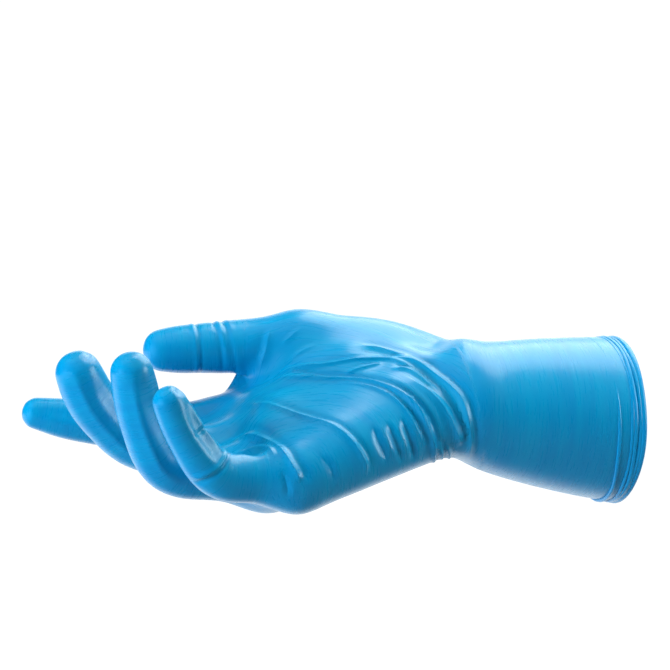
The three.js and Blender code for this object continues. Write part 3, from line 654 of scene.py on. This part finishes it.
# Creases round a digit: at is the share of its length from the knuckle, slant how far a crease leads on one
# side, about the turn in degrees at its middle and spread how far it reaches to both sides.
CREASES = [
    dict(digit="thumb", at=0.8, height=-0.5, width=0.7, slant=0.5, about=210, spread=110),
    dict(digit="thumb", at=0.815, height=0.35, width=0.8, slant=0.5, about=210, spread=100),
    dict(digit="thumb", at=0.73, height=-0.4, width=0.7, slant=1.5, about=220, spread=110),
    dict(digit="thumb", at=0.712, height=0.4, width=0.7, slant=2.0, about=225, spread=90),
    dict(digit="thumb", at=0.69, height=-0.5, width=0.7, slant=2.5, about=225, spread=110),
    dict(digit="thumb", at=0.672, height=0.35, width=0.8, slant=2.5, about=225, spread=110),
    dict(digit="little", at=0.5, height=-0.8, width=0.8, slant=-1.5, about=200, spread=100),
    dict(digit="little", at=0.525, height=0.6, width=0.8, slant=-1.5, about=205, spread=95),
    dict(digit="little", at=0.72, height=-0.6, width=0.8, slant=-1.0, about=250, spread=60),
    dict(digit="little", at=0.96, height=-0.8, width=1.6, slant=0, about=250, spread=50),
    dict(digit="middle", at=0.97, height=-0.5, width=1.2, slant=0, about=250, spread=60),
]

# Pleats along a digit, between two shares of its length, at a turn in degrees.
PLEATS = [
    dict(digit="index", turn=215, start=0.5, end=0.98, height=-0.7, width=2.6),
    dict(digit="middle", turn=170, start=0.35, end=1.02, height=0.8, width=1.8),
    dict(digit="middle", turn=215, start=0.35, end=0.96, height=-1.1, width=4),
    dict(digit="ring", turn=170, start=0.35, end=1.0, height=0.8, width=1.8),
    dict(digit="ring", turn=210, start=0.35, end=0.96, height=-1.1, width=3.4),
    dict(digit="ring", turn=243, start=0.5, end=1.0, height=0.8, width=1.0),
    dict(digit="little", turn=215, start=0.45, end=0.95, height=-0.9, width=2.6),
    dict(digit="little", turn=245, start=0.5, end=0.97, height=0.7, width=1.1),
]

# The middle of the arcs in which the palm's film is drawn, as shares of REACH, PALM_WIDTH and PALM_DEPTH.
# In millimetres, what a radian counts there and round a digit, how far apart the digits' lines are drawn,
# and where the cuff's own lines begin.
DRAWN_MIDDLE = (0.4, -0.6, 0)
PALM_RADIAN = 40
DIGIT_RADIAN = 9
DIGITS_APART = 60
CUFF_LINES_AT = -3

# Places tried along a digit, the degrees over which a crease fades, and how soon a pleat is full.
DIGIT_STOPS = 90
CREASE_FADE = 40
PLEAT_FADE = 3

# Rounds of smoothing of the film's outer skin and of its lining.
SKIN_ROUNDS = 3
LINING_ROUNDS = 1


def smooth_path(places, steps):
    """A Catmull-Rom curve through places: cubic between each two, tangents half the way past them."""
    places = np.asarray(places, float)
    ends = np.vstack([2 * places[0] - places[1], places, 2 * places[-1] - places[-2]])
    u = np.linspace(0, len(places) - 1, steps + 1)
    i = np.minimum(u.astype(int), len(places) - 2)
    t = (u - i)[:, None]
    a, b, c, d = (ends[i + k] for k in range(4))
    square, cube = 2 * a - 5 * b + 4 * c - d, 3 * b - a - 3 * c + d
    return 0.5 * (2 * b + (c - a) * t + square * t ** 2 + cube * t ** 3)


def fold_lift(points, normals, fold):
    """The lift of one fold: a ridge e^-(d/w)^2 over its path and a hollow beside it, fading to its ends.

    d is the distance from the path, signed by the side on which a place lies. It comes back too, in
    millimetres and with how strong the fold is there, for the sharp crest that the material adds.
    """
    path = onto_body(smooth_path(np.array(fold["path"]) * PLACE, FOLD_STEPS))
    width = fold["width"]
    low, high = path.min(0) - 6 * width, path.max(0) + 6 * width
    near = np.flatnonzero(((points > low) & (points < high)).all(axis=1))
    lift = np.zeros(len(points))
    crest = np.zeros((len(points), 2))
    p = points[near]
    start, span = path[:-1], np.diff(path, axis=0)
    offset = p[:, None] - start
    share = np.clip((offset * span).sum(-1) / (span * span).sum(-1), 0, 1)
    away = offset - share[..., None] * span
    best = np.linalg.norm(away, axis=-1).argmin(axis=1)
    row = np.arange(len(p))
    at = (best + share[row, best]) / FOLD_STEPS
    d = (unit(np.cross(span[best], normals[near])) * away[row, best]).sum(-1) / width
    far = np.abs((away[row, best] * normals[near]).sum(-1)) > FOLD_DEPTH
    fade = ease(FOLD_FADE * at) * ease(FOLD_FADE * (1 - at))
    ridge = np.exp(-d ** 2) - fold["lean"] * np.exp(-((d - HOLLOW_AT) / HOLLOW_WIDTH) ** 2)
    lift[near] = np.where(far, 0, fold["height"] * fade * ridge)
    strength = np.where(far, 0, fold["height"] * fade * ease(3 - abs(d)))
    crest[near] = np.stack([d * width, strength], axis=-1)
    return lift, crest


def along_digit(points, chain, root):
    """Where places lie by a digit: distance along it, turn round it and how surely they belong to it."""
    stops = np.linspace(0, chain.length, DIGIT_STOPS)
    middle, way = chain.line(stops)
    offset = points[:, None] - middle
    nearest = np.linalg.norm(offset, axis=-1).argmin(axis=1)
    away = offset[np.arange(len(points)), nearest]
    s = stops[nearest] + (away * way[nearest]).sum(-1)
    up = unit(np.cross(way[nearest], chain.side))
    turn = np.degrees(np.arctan2(-(away * up).sum(-1), away @ chain.side)) % 360
    reach = np.linalg.norm(away, axis=-1) / chain.radius(s)
    belongs = ease((1.5 - reach) / 0.3) * ease((s - root) / chain.radii[0])
    return s, turn, belongs


def digit_lift(chain, name, place):
    """The lift of a digit's creases and pleats: each e^-(d/w)^2, fading to its ends."""
    s, turn, belongs = place
    lift = np.zeros(len(s))
    for row in CREASES:
        if row["digit"] == name:
            away = (turn - row["about"] + 180) % 360 - 180
            d = s - row["at"] * chain.length - row["slant"] * np.sin(np.radians(away))
            reaches = ease((row["spread"] - abs(away)) / CREASE_FADE)
            lift += row["height"] * np.exp(-(d / row["width"]) ** 2) * reaches
    for row in PLEATS:
        if row["digit"] == name:
            away = np.radians((turn - row["turn"] + 180) % 360 - 180) * chain.radius(s)
            share = (s / chain.length - row["start"]) / (row["end"] - row["start"])
            ends = ease(PLEAT_FADE * share) * ease(PLEAT_FADE * (1 - share))
            lift += row["height"] * np.exp(-(away / row["width"]) ** 2) * ends
    return lift * belongs


def outer_film(times):
    """The film's outer skin in the flat frame, and where each place lies in the film as it is drawn.

    The cage is smoothed and then lifted along its normals by folds, creases and pleats.
    """
    cage = film_cage()
    points, quads = through(cage.points, cage.quads), cage.quads
    for _ in range(times):
        points, quads = subdivide(points, quads)
    points = limit(points, quads)
    normals = point_normals(points, quads)
    lift = np.zeros(len(points))
    crest = np.zeros((len(points), 2))
    for fold in FOLDS:
        height, edge = fold_lift(points, normals, fold)
        stronger = abs(edge[:, 1]) > abs(crest[:, 1])
        crest = np.where(stronger[:, None], edge, crest)
        lift += height
    reach = points - np.array(DRAWN_MIDDLE) * PLACE
    bearing = np.arctan2(reach[:, 1], -reach[:, 0])
    drawn = np.stack([np.hypot(reach[:, 0], reach[:, 1]), bearing * PALM_RADIAN, reach[:, 2]], axis=-1)
    drawn = np.where(points[:, :1] < CUFF_LINES_AT, to_part(points), drawn)
    on_digit = np.zeros(len(points))
    names = [spec["name"] for spec in FINGERS] + ["thumb"]
    roots = [chain.lengths[0] * ROOT_AT for chain in FINGER_CHAINS] + [thumb_root()]
    for k, (name, chain, root) in enumerate(zip(names, FINGER_CHAINS + [THUMB], roots)):
        place = along_digit(points, chain, root)
        s, turn, belongs = place
        lift += digit_lift(chain, name, place)
        way = np.radians(turn)
        round_it = np.stack([np.cos(way), np.sin(way)], axis=-1) * DIGIT_RADIAN + (DIGITS_APART * k, 0)
        ring = np.c_[s, round_it]
        drawn = np.where((belongs > on_digit)[:, None] & (belongs > 0.02)[:, None], ring, drawn)
        on_digit = np.maximum(on_digit, belongs)
    marks = dict(drawn=drawn, crest=np.c_[crest, np.zeros(len(points))])
    return points + normals * lift[:, None], quads, marks


# The rolled rim: how far back each strand lies at the cuff's top, side and bottom as shares of ROLL_WIDTH,
# its girth as a share of ROLL_THICKNESS, and how far it wanders along the cuff in millimetres. All strands
# are sunk and swell by shares of their radius, and the cuff tapers by a share of the way back.
STRANDS = [
    dict(name="end", top=0, side=0, bottom=0, girth=1, wander=0),
    dict(name="end inner", top=0.19, side=0.16, bottom=0.13, girth=0.75, wander=0.2),
    dict(name="second", top=0.36, side=0.31, bottom=0.22, girth=0.85, wander=0.25),
    dict(name="second inner", top=0.52, side=0.45, bottom=0.31, girth=0.6, wander=0.25),
    dict(name="ridge", top=1.05, side=0.95, bottom=0.58, girth=0.6, wander=0.15),
]
STRAND_SIDES = 16
STRAND_STEPS = 240
STRAND_SUNK = 0.3
STRAND_TAPER = 0.02
STRAND_SWELL = 0.1
RIM_RADIAN = 20


def strand_rings(strand, k):
    """A strand's tube round the mouth: its distance back swings between top, side and bottom.

    Back is the share at the side, mixed with the end's by the square of the height, plus two slow waves,
    and the radius swells by one more. Each strand k starts its waves elsewhere.
    """
    radius = strand["girth"] * ROLL_THICKNESS / 2
    turn = np.linspace(0, 2 * pi, STRAND_STEPS, endpoint=False)[:, None]
    height = -np.sin(turn)
    ends = np.where(height > 0, strand["top"], strand["bottom"])
    share = lerp(strand["side"], ends, height ** 2)
    waves = np.sin(3 * turn + 2.1 * k) + 0.6 * np.sin(7 * turn + 3.7 * k)
    back = lerp(radius, ROLL_WIDTH, share) + strand["wander"] * waves
    swell = radius * (1 + STRAND_SWELL * np.sin(5 * turn + 1.3 * k))
    around = np.linspace(0, 2 * pi, STRAND_SIDES, endpoint=False)
    out = CUFF_DIAMETER / 2 - radius * STRAND_SUNK - STRAND_TAPER * back + swell * np.cos(around)
    return np.stack([-back + swell * np.sin(around), np.cos(turn) * out, -np.sin(turn) * out], axis=-1)


def closed_tube(rings, first):
    """Quads of a tube whose rings close into a loop, faces out, numbered from first."""
    ids = first + np.arange(rings.shape[0] * rings.shape[1]).reshape(rings.shape[:2])
    after, beside = np.roll(ids, -1, axis=0), np.roll(ids, -1, axis=1)
    across = np.roll(after, -1, axis=1)
    return np.stack([ids, beside, across, after], axis=-1).reshape(-1, 4)


def rim_loop(points, quads):
    """The open rim's points in order of their turn about the mouth's middle."""
    edges, _, count = neighbours(quads)
    ids = np.unique(edges[count == 1])
    return ids[np.argsort(np.arctan2(points[ids, 2], points[ids, 1]))]


def joined_skins(outer, inner, steps):
    """One closed film from two skins: the inner one turned over, and a face across the rim at each edge."""
    (points, quads), (lining, lining_quads) = outer, inner
    rim, lining_rim = rim_loop(points, quads), rim_loop(lining, lining_quads)
    gap = np.linalg.norm(points[rim] - lining[lining_rim[0]], axis=1)
    rim = np.roll(rim, -gap.argmin())
    fine = rim[(np.arange(len(lining_rim))[:, None] * steps + np.arange(steps + 1)) % len(rim)]
    coarse = np.stack([np.roll(lining_rim, -1), lining_rim], axis=-1) + len(points)
    lips = np.hstack([fine, coarse])
    faces = [quads, lining_quads[:, ::-1] + len(points), lips]
    return np.vstack([points, lining]), faces


def new_piece(name, points, faces, material):
    """A smooth mesh object from millimetre points in the part's frame and blocks of faces."""
    loops = np.concatenate([block.ravel() for block in faces])
    sizes = np.concatenate([np.full(len(block), block.shape[1]) for block in faces])
    mesh = bpy.data.meshes.new(name)
    mesh.vertices.add(len(points))
    mesh.vertices.foreach_set("co", (points * 0.001).astype(np.float32).ravel())
    mesh.loops.add(len(loops))
    mesh.loops.foreach_set("vertex_index", loops.astype(np.int32))
    mesh.polygons.add(len(sizes))
    mesh.polygons.foreach_set("loop_start", (np.cumsum(sizes) - sizes).astype(np.int32))
    mesh.update(calc_edges=True)
    mesh.shade_smooth()
    mesh.materials.append(material)
    piece = bpy.data.objects.new(name, mesh)
    bpy.context.scene.collection.objects.link(piece)
    return piece


def add_attribute(piece, name, values):
    """A vector for each point, which the film's material reads."""
    attribute = piece.data.attributes.new(name, "FLOAT_VECTOR", "POINT")
    attribute.data.foreach_set("vector", values.astype(np.float32).ravel())


# The film's lines: how much closer across than along, how many to a millimetre, how much the finer ones
# add and how far they change the roughness. CREST_WIDTH is half the width of a fold's crest in millimetres.
LINE_STRETCH = (1, 0.09, 0.09)
BROAD_LINES = 0.25
FINE_LINES = 1.1
FINE_SHARE = 0.3
GLOSS_SWING = 0.06
CREST_WIDTH = 0.5

# The studio, in metres: its floor, the way to the bright part of the surround and how white it looks.
FLOOR_RADIUS = 6
FLOOR_CORNERS = 96
BACK_WAY = (0.22, 0.82, -0.53)
SEEN_WHITE = 1.05

# The camera: what it looks at, how far off it stands and turned by how many degrees, and its lens.
CAMERA_LOOK = (-0.1114, 0.0154, 0.0335)
CAMERA_DISTANCE = 0.85
CAMERA_TURN = -15
CAMERA_LENS = 116.46


def node(tree, kind, values=(), **settings):
    """A shader node with its settings, and its inputs given numbers or linked to other nodes' sockets."""
    made = tree.nodes.new("ShaderNode" + kind)
    for name, value in settings.items():
        setattr(made, name, value)
    for name, value in dict(values).items():
        if isinstance(value, bpy.types.NodeSocket):
            tree.links.new(value, made.inputs[name])
        else:
            made.inputs[name].default_value = value
    return made


def maths(tree, operation, *values):
    """The result of a maths node on sockets or numbers."""
    return node(tree, "Math", enumerate(values), operation=operation).outputs["Value"]


def effect_group(name, inputs):
    """A node group that gives heights: the group, its entry's sockets and its exit's."""
    group = bpy.data.node_groups.new(name, "ShaderNodeTree")
    for label, kind in inputs:
        group.interface.new_socket(name=label, in_out="INPUT", socket_type="NodeSocket" + kind)
    group.interface.new_socket(name="Height", in_out="OUTPUT", socket_type="NodeSocketFloat")
    return group, group.nodes.new("NodeGroupInput").outputs, group.nodes.new("NodeGroupOutput").inputs


def drawn_lines():
    """A node group: fine lines that run across the first direction of a place, as heights from 0 to 1."""
    if "drawn_lines" in bpy.data.node_groups:
        return bpy.data.node_groups["drawn_lines"]
    group, given, result = effect_group("drawn_lines", (("Place", "Vector"), ("Closeness", "Float")))
    stretch = node(group, "VectorMath", {0: given["Place"], 1: LINE_STRETCH}, operation="MULTIPLY")
    noise = node(group, "TexNoise", {"Vector": stretch.outputs["Vector"], "Scale": given["Closeness"],
                                     "Detail": 3, "Roughness": 0.6})
    group.links.new(noise.outputs["Fac"], result["Height"])
    return group


def fold_crest():
    """A node group: the sharp crest of a fold, strength * e^-(distance / width)^2."""
    if "fold_crest" in bpy.data.node_groups:
        return bpy.data.node_groups["fold_crest"]
    group, given, result = effect_group("fold_crest", (("Crest", "Vector"), ("Width", "Float")))
    parts = node(group, "SeparateXYZ", {"Vector": given["Crest"]}).outputs
    share = maths(group, "DIVIDE", parts["X"], given["Width"])
    square = maths(group, "MULTIPLY", share, share)
    fall = maths(group, "POWER", np.e, maths(group, "MULTIPLY", square, -1))
    group.links.new(maths(group, "MULTIPLY", fall, parts["Y"]), result["Height"])
    return group


def nitrile_material(name, colour, stretched, finish):
    """Opaque satin film: one deep blue, a little paler where it is stretched, with fine drawn-out lines."""
    material = bpy.data.materials.new(name)
    material.use_nodes = True
    tree = material.node_tree
    surface = tree.nodes["Principled BSDF"].inputs
    surface["IOR"].default_value = 1.5
    folds = node(tree, "Attribute", attribute_name="crest").outputs["Vector"]
    crest = node(tree, "Group", node_tree=fold_crest())
    tree.links.new(folds, crest.inputs["Crest"])
    crest.inputs["Width"].default_value = CREST_WIDTH
    place = node(tree, "Attribute", attribute_name="drawn").outputs["Vector"]
    layers = [node(tree, "Group", node_tree=drawn_lines()) for _ in range(2)]
    for layer, closeness in zip(layers, (BROAD_LINES, FINE_LINES)):
        tree.links.new(place, layer.inputs["Place"])
        layer.inputs["Closeness"].default_value = closeness
    broad, fine = [layer.outputs["Height"] for layer in layers]
    edge = node(tree, "Bump", {"Height": crest.outputs["Height"], "Strength": 1,
                               "Distance": finish.crest_height})
    bump = node(tree, "Bump", {"Height": maths(tree, "MULTIPLY_ADD", fine, FINE_SHARE, broad), "Strength": 1,
                               "Distance": finish.line_height, "Normal": edge.outputs["Normal"]})
    tree.links.new(bump.outputs["Normal"], surface["Normal"])
    shade = node(tree, "MapRange", {"Value": fine, "From Min": 0.3, "From Max": 0.7,
                                    "To Min": finish.roughness - GLOSS_SWING,
                                    "To Max": finish.roughness + GLOSS_SWING})
    tree.links.new(shade.outputs["Result"], surface["Roughness"])
    pale = node(tree, "MapRange", {"Value": broad, "From Min": 0.35, "From Max": 0.75})
    tint = node(tree, "Mix", {"Factor": pale.outputs["Result"], "A": (*colour, 1), "B": (*stretched, 1)},
                data_type="RGBA")
    tree.links.new(tint.outputs["Result"], surface["Base Color"])
    return material


class GloveFinish(bpy.types.PropertyGroup):
    """Colours and gloss of the film."""

    film_colour: bpy.props.FloatVectorProperty(
        name="Film", description="Colour of the nitrile film", subtype="COLOR", size=3, min=0, max=1,
        default=(0.0, 0.275, 0.505))
    stretched_colour: bpy.props.FloatVectorProperty(
        name="Stretched film", description="Colour of the film where it is drawn thin",
        subtype="COLOR", size=3, min=0, max=1, default=(0.0, 0.33, 0.54))
    rim_colour: bpy.props.FloatVectorProperty(
        name="Rim", description="Colour of the rolled rim, where the film lies in many layers",
        subtype="COLOR", size=3, min=0, max=1, default=(0.0, 0.29, 0.57))
    line_height: bpy.props.FloatProperty(
        name="Lines", description="Height of the fine lines in the film", default=0.00008, min=0,
        unit="LENGTH")
    crest_height: bpy.props.FloatProperty(
        name="Crests", description="Height of the sharp crests on the folds", default=0.00022, min=0,
        unit="LENGTH")
    roughness: bpy.props.FloatProperty(
        name="Roughness", description="How dull the film's gloss is", default=0.3, min=0, max=1)


class GloveStudio(bpy.types.PropertyGroup):
    """Lights and ground."""

    key_power: bpy.props.FloatProperty(
        name="Key light", description="Power of the softbox above", default=5.4, min=0, unit="POWER")
    fill_power: bpy.props.FloatProperty(
        name="Fill light", description="Power of the soft light in front", default=9.0, min=0, unit="POWER")
    ambient_light: bpy.props.FloatProperty(
        name="Ambient", description="Soft light of the surround and the floor", default=0.08, min=0)
    back_light: bpy.props.FloatProperty(
        name="Back", description="What gloss mirrors low behind the glove", default=1.35, min=0)
    floor_drop: bpy.props.FloatProperty(
        name="Floor", description="How far the floor lies below the glove's mouth", default=0.35, min=0.1,
        unit="LENGTH")


class OBJECT_OT_glove_film(bpy.types.Operator):
    """Build the glove's film, outer skin and lining, in place of its plain solid"""

    bl_idname = "object.glove_film"
    bl_label = "Glove film"

    def execute(self, context):
        points, quads, marks = outer_film(SKIN_ROUNDS)
        lining, lining_quads, lining_marks = outer_film(LINING_ROUNDS)
        lining = lining - point_normals(lining, lining_quads) * FILM
        steps = 2 ** (SKIN_ROUNDS - LINING_ROUNDS)
        joined, faces = joined_skins((to_part(points), quads), (to_part(lining), lining_quads), steps)
        finish = context.scene.glove_finish
        material = nitrile_material("nitrile_film", finish.film_colour, finish.stretched_colour, finish)
        piece = new_piece("glove_film", joined, faces, material)
        for name in marks:
            add_attribute(piece, name, np.vstack([marks[name], lining_marks[name]]))
        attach(piece, "root")
        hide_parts("glove")
        return {"FINISHED"}


class OBJECT_OT_glove_rim(bpy.types.Operator):
    """Build the strands of the cuff's rolled rim"""

    bl_idname = "object.glove_rim"
    bl_label = "Rolled rim"

    def execute(self, context):
        finish = context.scene.glove_finish
        strands = [strand_rings(strand, k) for k, strand in enumerate(STRANDS)]
        size = STRAND_STEPS * STRAND_SIDES
        quads = np.vstack([closed_tube(rings, k * size) for k, rings in enumerate(strands)])
        points = np.vstack([rings.reshape(-1, 3) for rings in strands])
        material = nitrile_material("nitrile_rim", finish.rim_colour, finish.stretched_colour, finish)
        piece = new_piece("rolled_rim", points, [quads], material)
        turn = np.arctan2(points[:, 2], points[:, 1])
        add_attribute(piece, "drawn", np.stack([points[:, 0], turn * RIM_RADIAN, turn * 0], axis=-1))
        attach(piece, "root")
        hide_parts("glove")
        return {"FINISHED"}


class OBJECT_OT_glove_studio(bpy.types.Operator):
    """Make the white floor, the soft lights and the camera"""

    bl_idname = "object.glove_studio"
    bl_label = "Glove studio"

    def execute(self, context):
        studio = context.scene.glove_studio
        make_floor(studio)
        make_surround(studio)
        make_lights(studio)
        make_camera(context.scene)
        return {"FINISHED"}


def aimed(thing, place, target):
    """Places a lamp or camera and turns it to look at a target."""
    thing.location = place
    thing.rotation_euler = (Vector(target) - Vector(place)).to_track_quat("-Z", "Y").to_euler()


def ray_switch(tree, as_light, as_gloss, as_seen):
    """A strength that differs between soft light, what gloss mirrors and what the camera sees."""
    ray = node(tree, "LightPath").outputs
    mirrored = node(tree, "Mix", {"Factor": ray["Is Glossy Ray"], "A": as_light, "B": as_gloss})
    seen = node(tree, "Mix", {"Factor": ray["Is Camera Ray"], "A": mirrored.outputs["Result"],
                              "B": as_seen})
    return seen.outputs["Result"]


def gentle_rise(tree, value, low, high, top):
    """A strength that goes gently from 0 to top while a value goes from low to high."""
    rise = node(tree, "MapRange", {"Value": value, "From Min": low, "From Max": high, "To Min": 0,
                                   "To Max": top}, interpolation_type="SMOOTHSTEP")
    return rise.outputs["Result"]


def make_floor(studio):
    """A wide round floor that looks as white as the surround but gives back little light."""
    turn = np.linspace(0, 2 * pi, FLOOR_CORNERS, endpoint=False)
    height = np.full(FLOOR_CORNERS, -studio.floor_drop)
    rim = np.stack([np.cos(turn) * FLOOR_RADIUS, np.sin(turn) * FLOOR_RADIUS, height], axis=-1)
    mesh = bpy.data.meshes.new("floor")
    mesh.from_pydata(rim.tolist(), [], [list(range(FLOOR_CORNERS))])
    floor = bpy.data.objects.new("floor", mesh)
    bpy.context.scene.collection.objects.link(floor)
    material = bpy.data.materials.new("white_floor")
    material.use_nodes = True
    tree = material.node_tree
    surface = tree.nodes["Principled BSDF"].inputs
    surface["Base Color"].default_value = (0.18, 0.24, 0.28, 1)
    surface["Roughness"].default_value = 0.9
    surface["Specular IOR Level"].default_value = 0
    surface["Emission Color"].default_value = (1, 1, 1, 1)
    place = node(tree, "TexCoord").outputs["Object"]
    depth = node(tree, "SeparateXYZ", {"Vector": place}).outputs["Y"]
    behind = gentle_rise(tree, depth, 0.04, 0.4, studio.back_light)
    glow = ray_switch(tree, studio.ambient_light, behind, SEEN_WHITE)
    tree.links.new(glow, surface["Emission Strength"])
    mesh.materials.append(material)


def make_surround(studio):
    """A surround that looks white; what gloss mirrors of it is bright low behind the glove alone."""
    world = bpy.data.worlds.new("white_studio")
    world.use_nodes = True
    bpy.context.scene.world = world
    tree = world.node_tree
    background = tree.nodes["Background"].inputs
    background["Color"].default_value = (1, 1, 1, 1)
    way = node(tree, "TexCoord").outputs["Generated"]
    towards = node(tree, "VectorMath", {0: way, 1: BACK_WAY}, operation="DOT_PRODUCT").outputs["Value"]
    behind = gentle_rise(tree, towards, 0.55, 0.85, studio.back_light)
    glow = ray_switch(tree, studio.ambient_light, behind, SEEN_WHITE)
    tree.links.new(glow, background["Strength"])


def make_lights(studio):
    """Softboxes above, behind and beside the glove, and fills in front that leave no gloss."""
    lamps = (
        dict(name="softbox", size=(0.7, 0.6), power=studio.key_power, colour=(1, 1, 1),
             place=(0.26, 0.14, 0.52), target=(0.22, 0.06, 0), gloss=True),
        dict(name="back softbox", size=(1.3, 0.6), power=studio.key_power * 0.55, colour=(1, 1, 1),
             place=(0.3, 0.75, 0.42), target=(0, 0, 0.02), gloss=True),
        dict(name="side light", size=(0.2, 0.3), power=studio.key_power * 0.25, colour=(0.8, 0.95, 1),
             place=(0.35, -0.2, 0.13), target=(-0.18, -0.03, 0.02), gloss=True),
        dict(name="finger light", size=(0.4, 0.5), power=studio.key_power * 0.2, colour=(1, 1, 1),
             place=(-0.4, 0, 0.5), target=(-0.2, 0, 0), gloss=False),
        dict(name="front fill", size=(1.2, 0.8), power=studio.fill_power * 0.92, colour=(0.27, 0.8, 1),
             place=(-0.15, -0.65, 1.1), target=(-0.05, 0, 0), gloss=False),
        dict(name="finger fill", size=(0.8, 0.8), power=studio.fill_power * 2.6, colour=(0.3, 0.78, 1),
             place=(-1.2, -0.25, -0.1), target=(-0.18, 0, 0), gloss=False),
    )
    for lamp in lamps:
        data = bpy.data.lights.new(lamp["name"], "AREA")
        data.shape = "RECTANGLE"
        data.size, data.size_y = lamp["size"]
        data.energy = lamp["power"]
        data.color = lamp["colour"]
        piece = bpy.data.objects.new(lamp["name"], data)
        piece.visible_glossy = lamp["gloss"]
        bpy.context.scene.collection.objects.link(piece)
        aimed(piece, lamp["place"], lamp["target"])


def make_camera(scene):
    """A long lens level with the glove, 15 degrees round to its fingers' side."""
    look = np.array(CAMERA_LOOK)
    turn = radians(CAMERA_TURN)
    back = np.array([sin(turn), -cos(turn), 0])
    data = bpy.data.cameras.new("camera")
    data.lens = CAMERA_LENS
    data.sensor_width = 36
    data.clip_start, data.clip_end = 0.05, 30
    camera = bpy.data.objects.new("camera", data)
    scene.collection.objects.link(camera)
    aimed(camera, look + back * CAMERA_DISTANCE, look)
    scene.camera = camera
    scene.view_settings.view_transform = "Standard"


class VIEW3D_PT_glove(bpy.types.Panel):
    """The glove's pieces, finish and studio in the sidebar"""

    bl_idname = "VIEW3D_PT_glove"
    bl_label = "Nitrile Glove"
    bl_space_type = "VIEW_3D"
    bl_region_type = "UI"
    bl_category = "Glove"

    def draw(self, context):
        column = self.layout.column()
        for group in (context.scene.glove_finish, context.scene.glove_studio):
            for name in group.__annotations__:
                column.prop(group, name)
        for operator in OPERATORS:
            column.operator(operator.bl_idname)


OPERATORS = (OBJECT_OT_glove_film, OBJECT_OT_glove_rim, OBJECT_OT_glove_studio)
CLASSES = (GloveFinish, GloveStudio, *OPERATORS, VIEW3D_PT_glove)


def register():
    """Adds the classes and the scene's settings."""
    for made in CLASSES:
        bpy.utils.register_class(made)
    bpy.types.Scene.glove_finish = bpy.props.PointerProperty(type=GloveFinish)
    bpy.types.Scene.glove_studio = bpy.props.PointerProperty(type=GloveStudio)


def unregister():
    """Takes them away again."""
    del bpy.types.Scene.glove_studio
    del bpy.types.Scene.glove_finish
    for made in reversed(CLASSES):
        bpy.utils.unregister_class(made)


def main():
    """Builds every piece and the studio."""
    register()
    bpy.ops.object.glove_film()
    bpy.ops.object.glove_rim()
    bpy.ops.object.glove_studio()


if __name__ == "__main__":
    main()
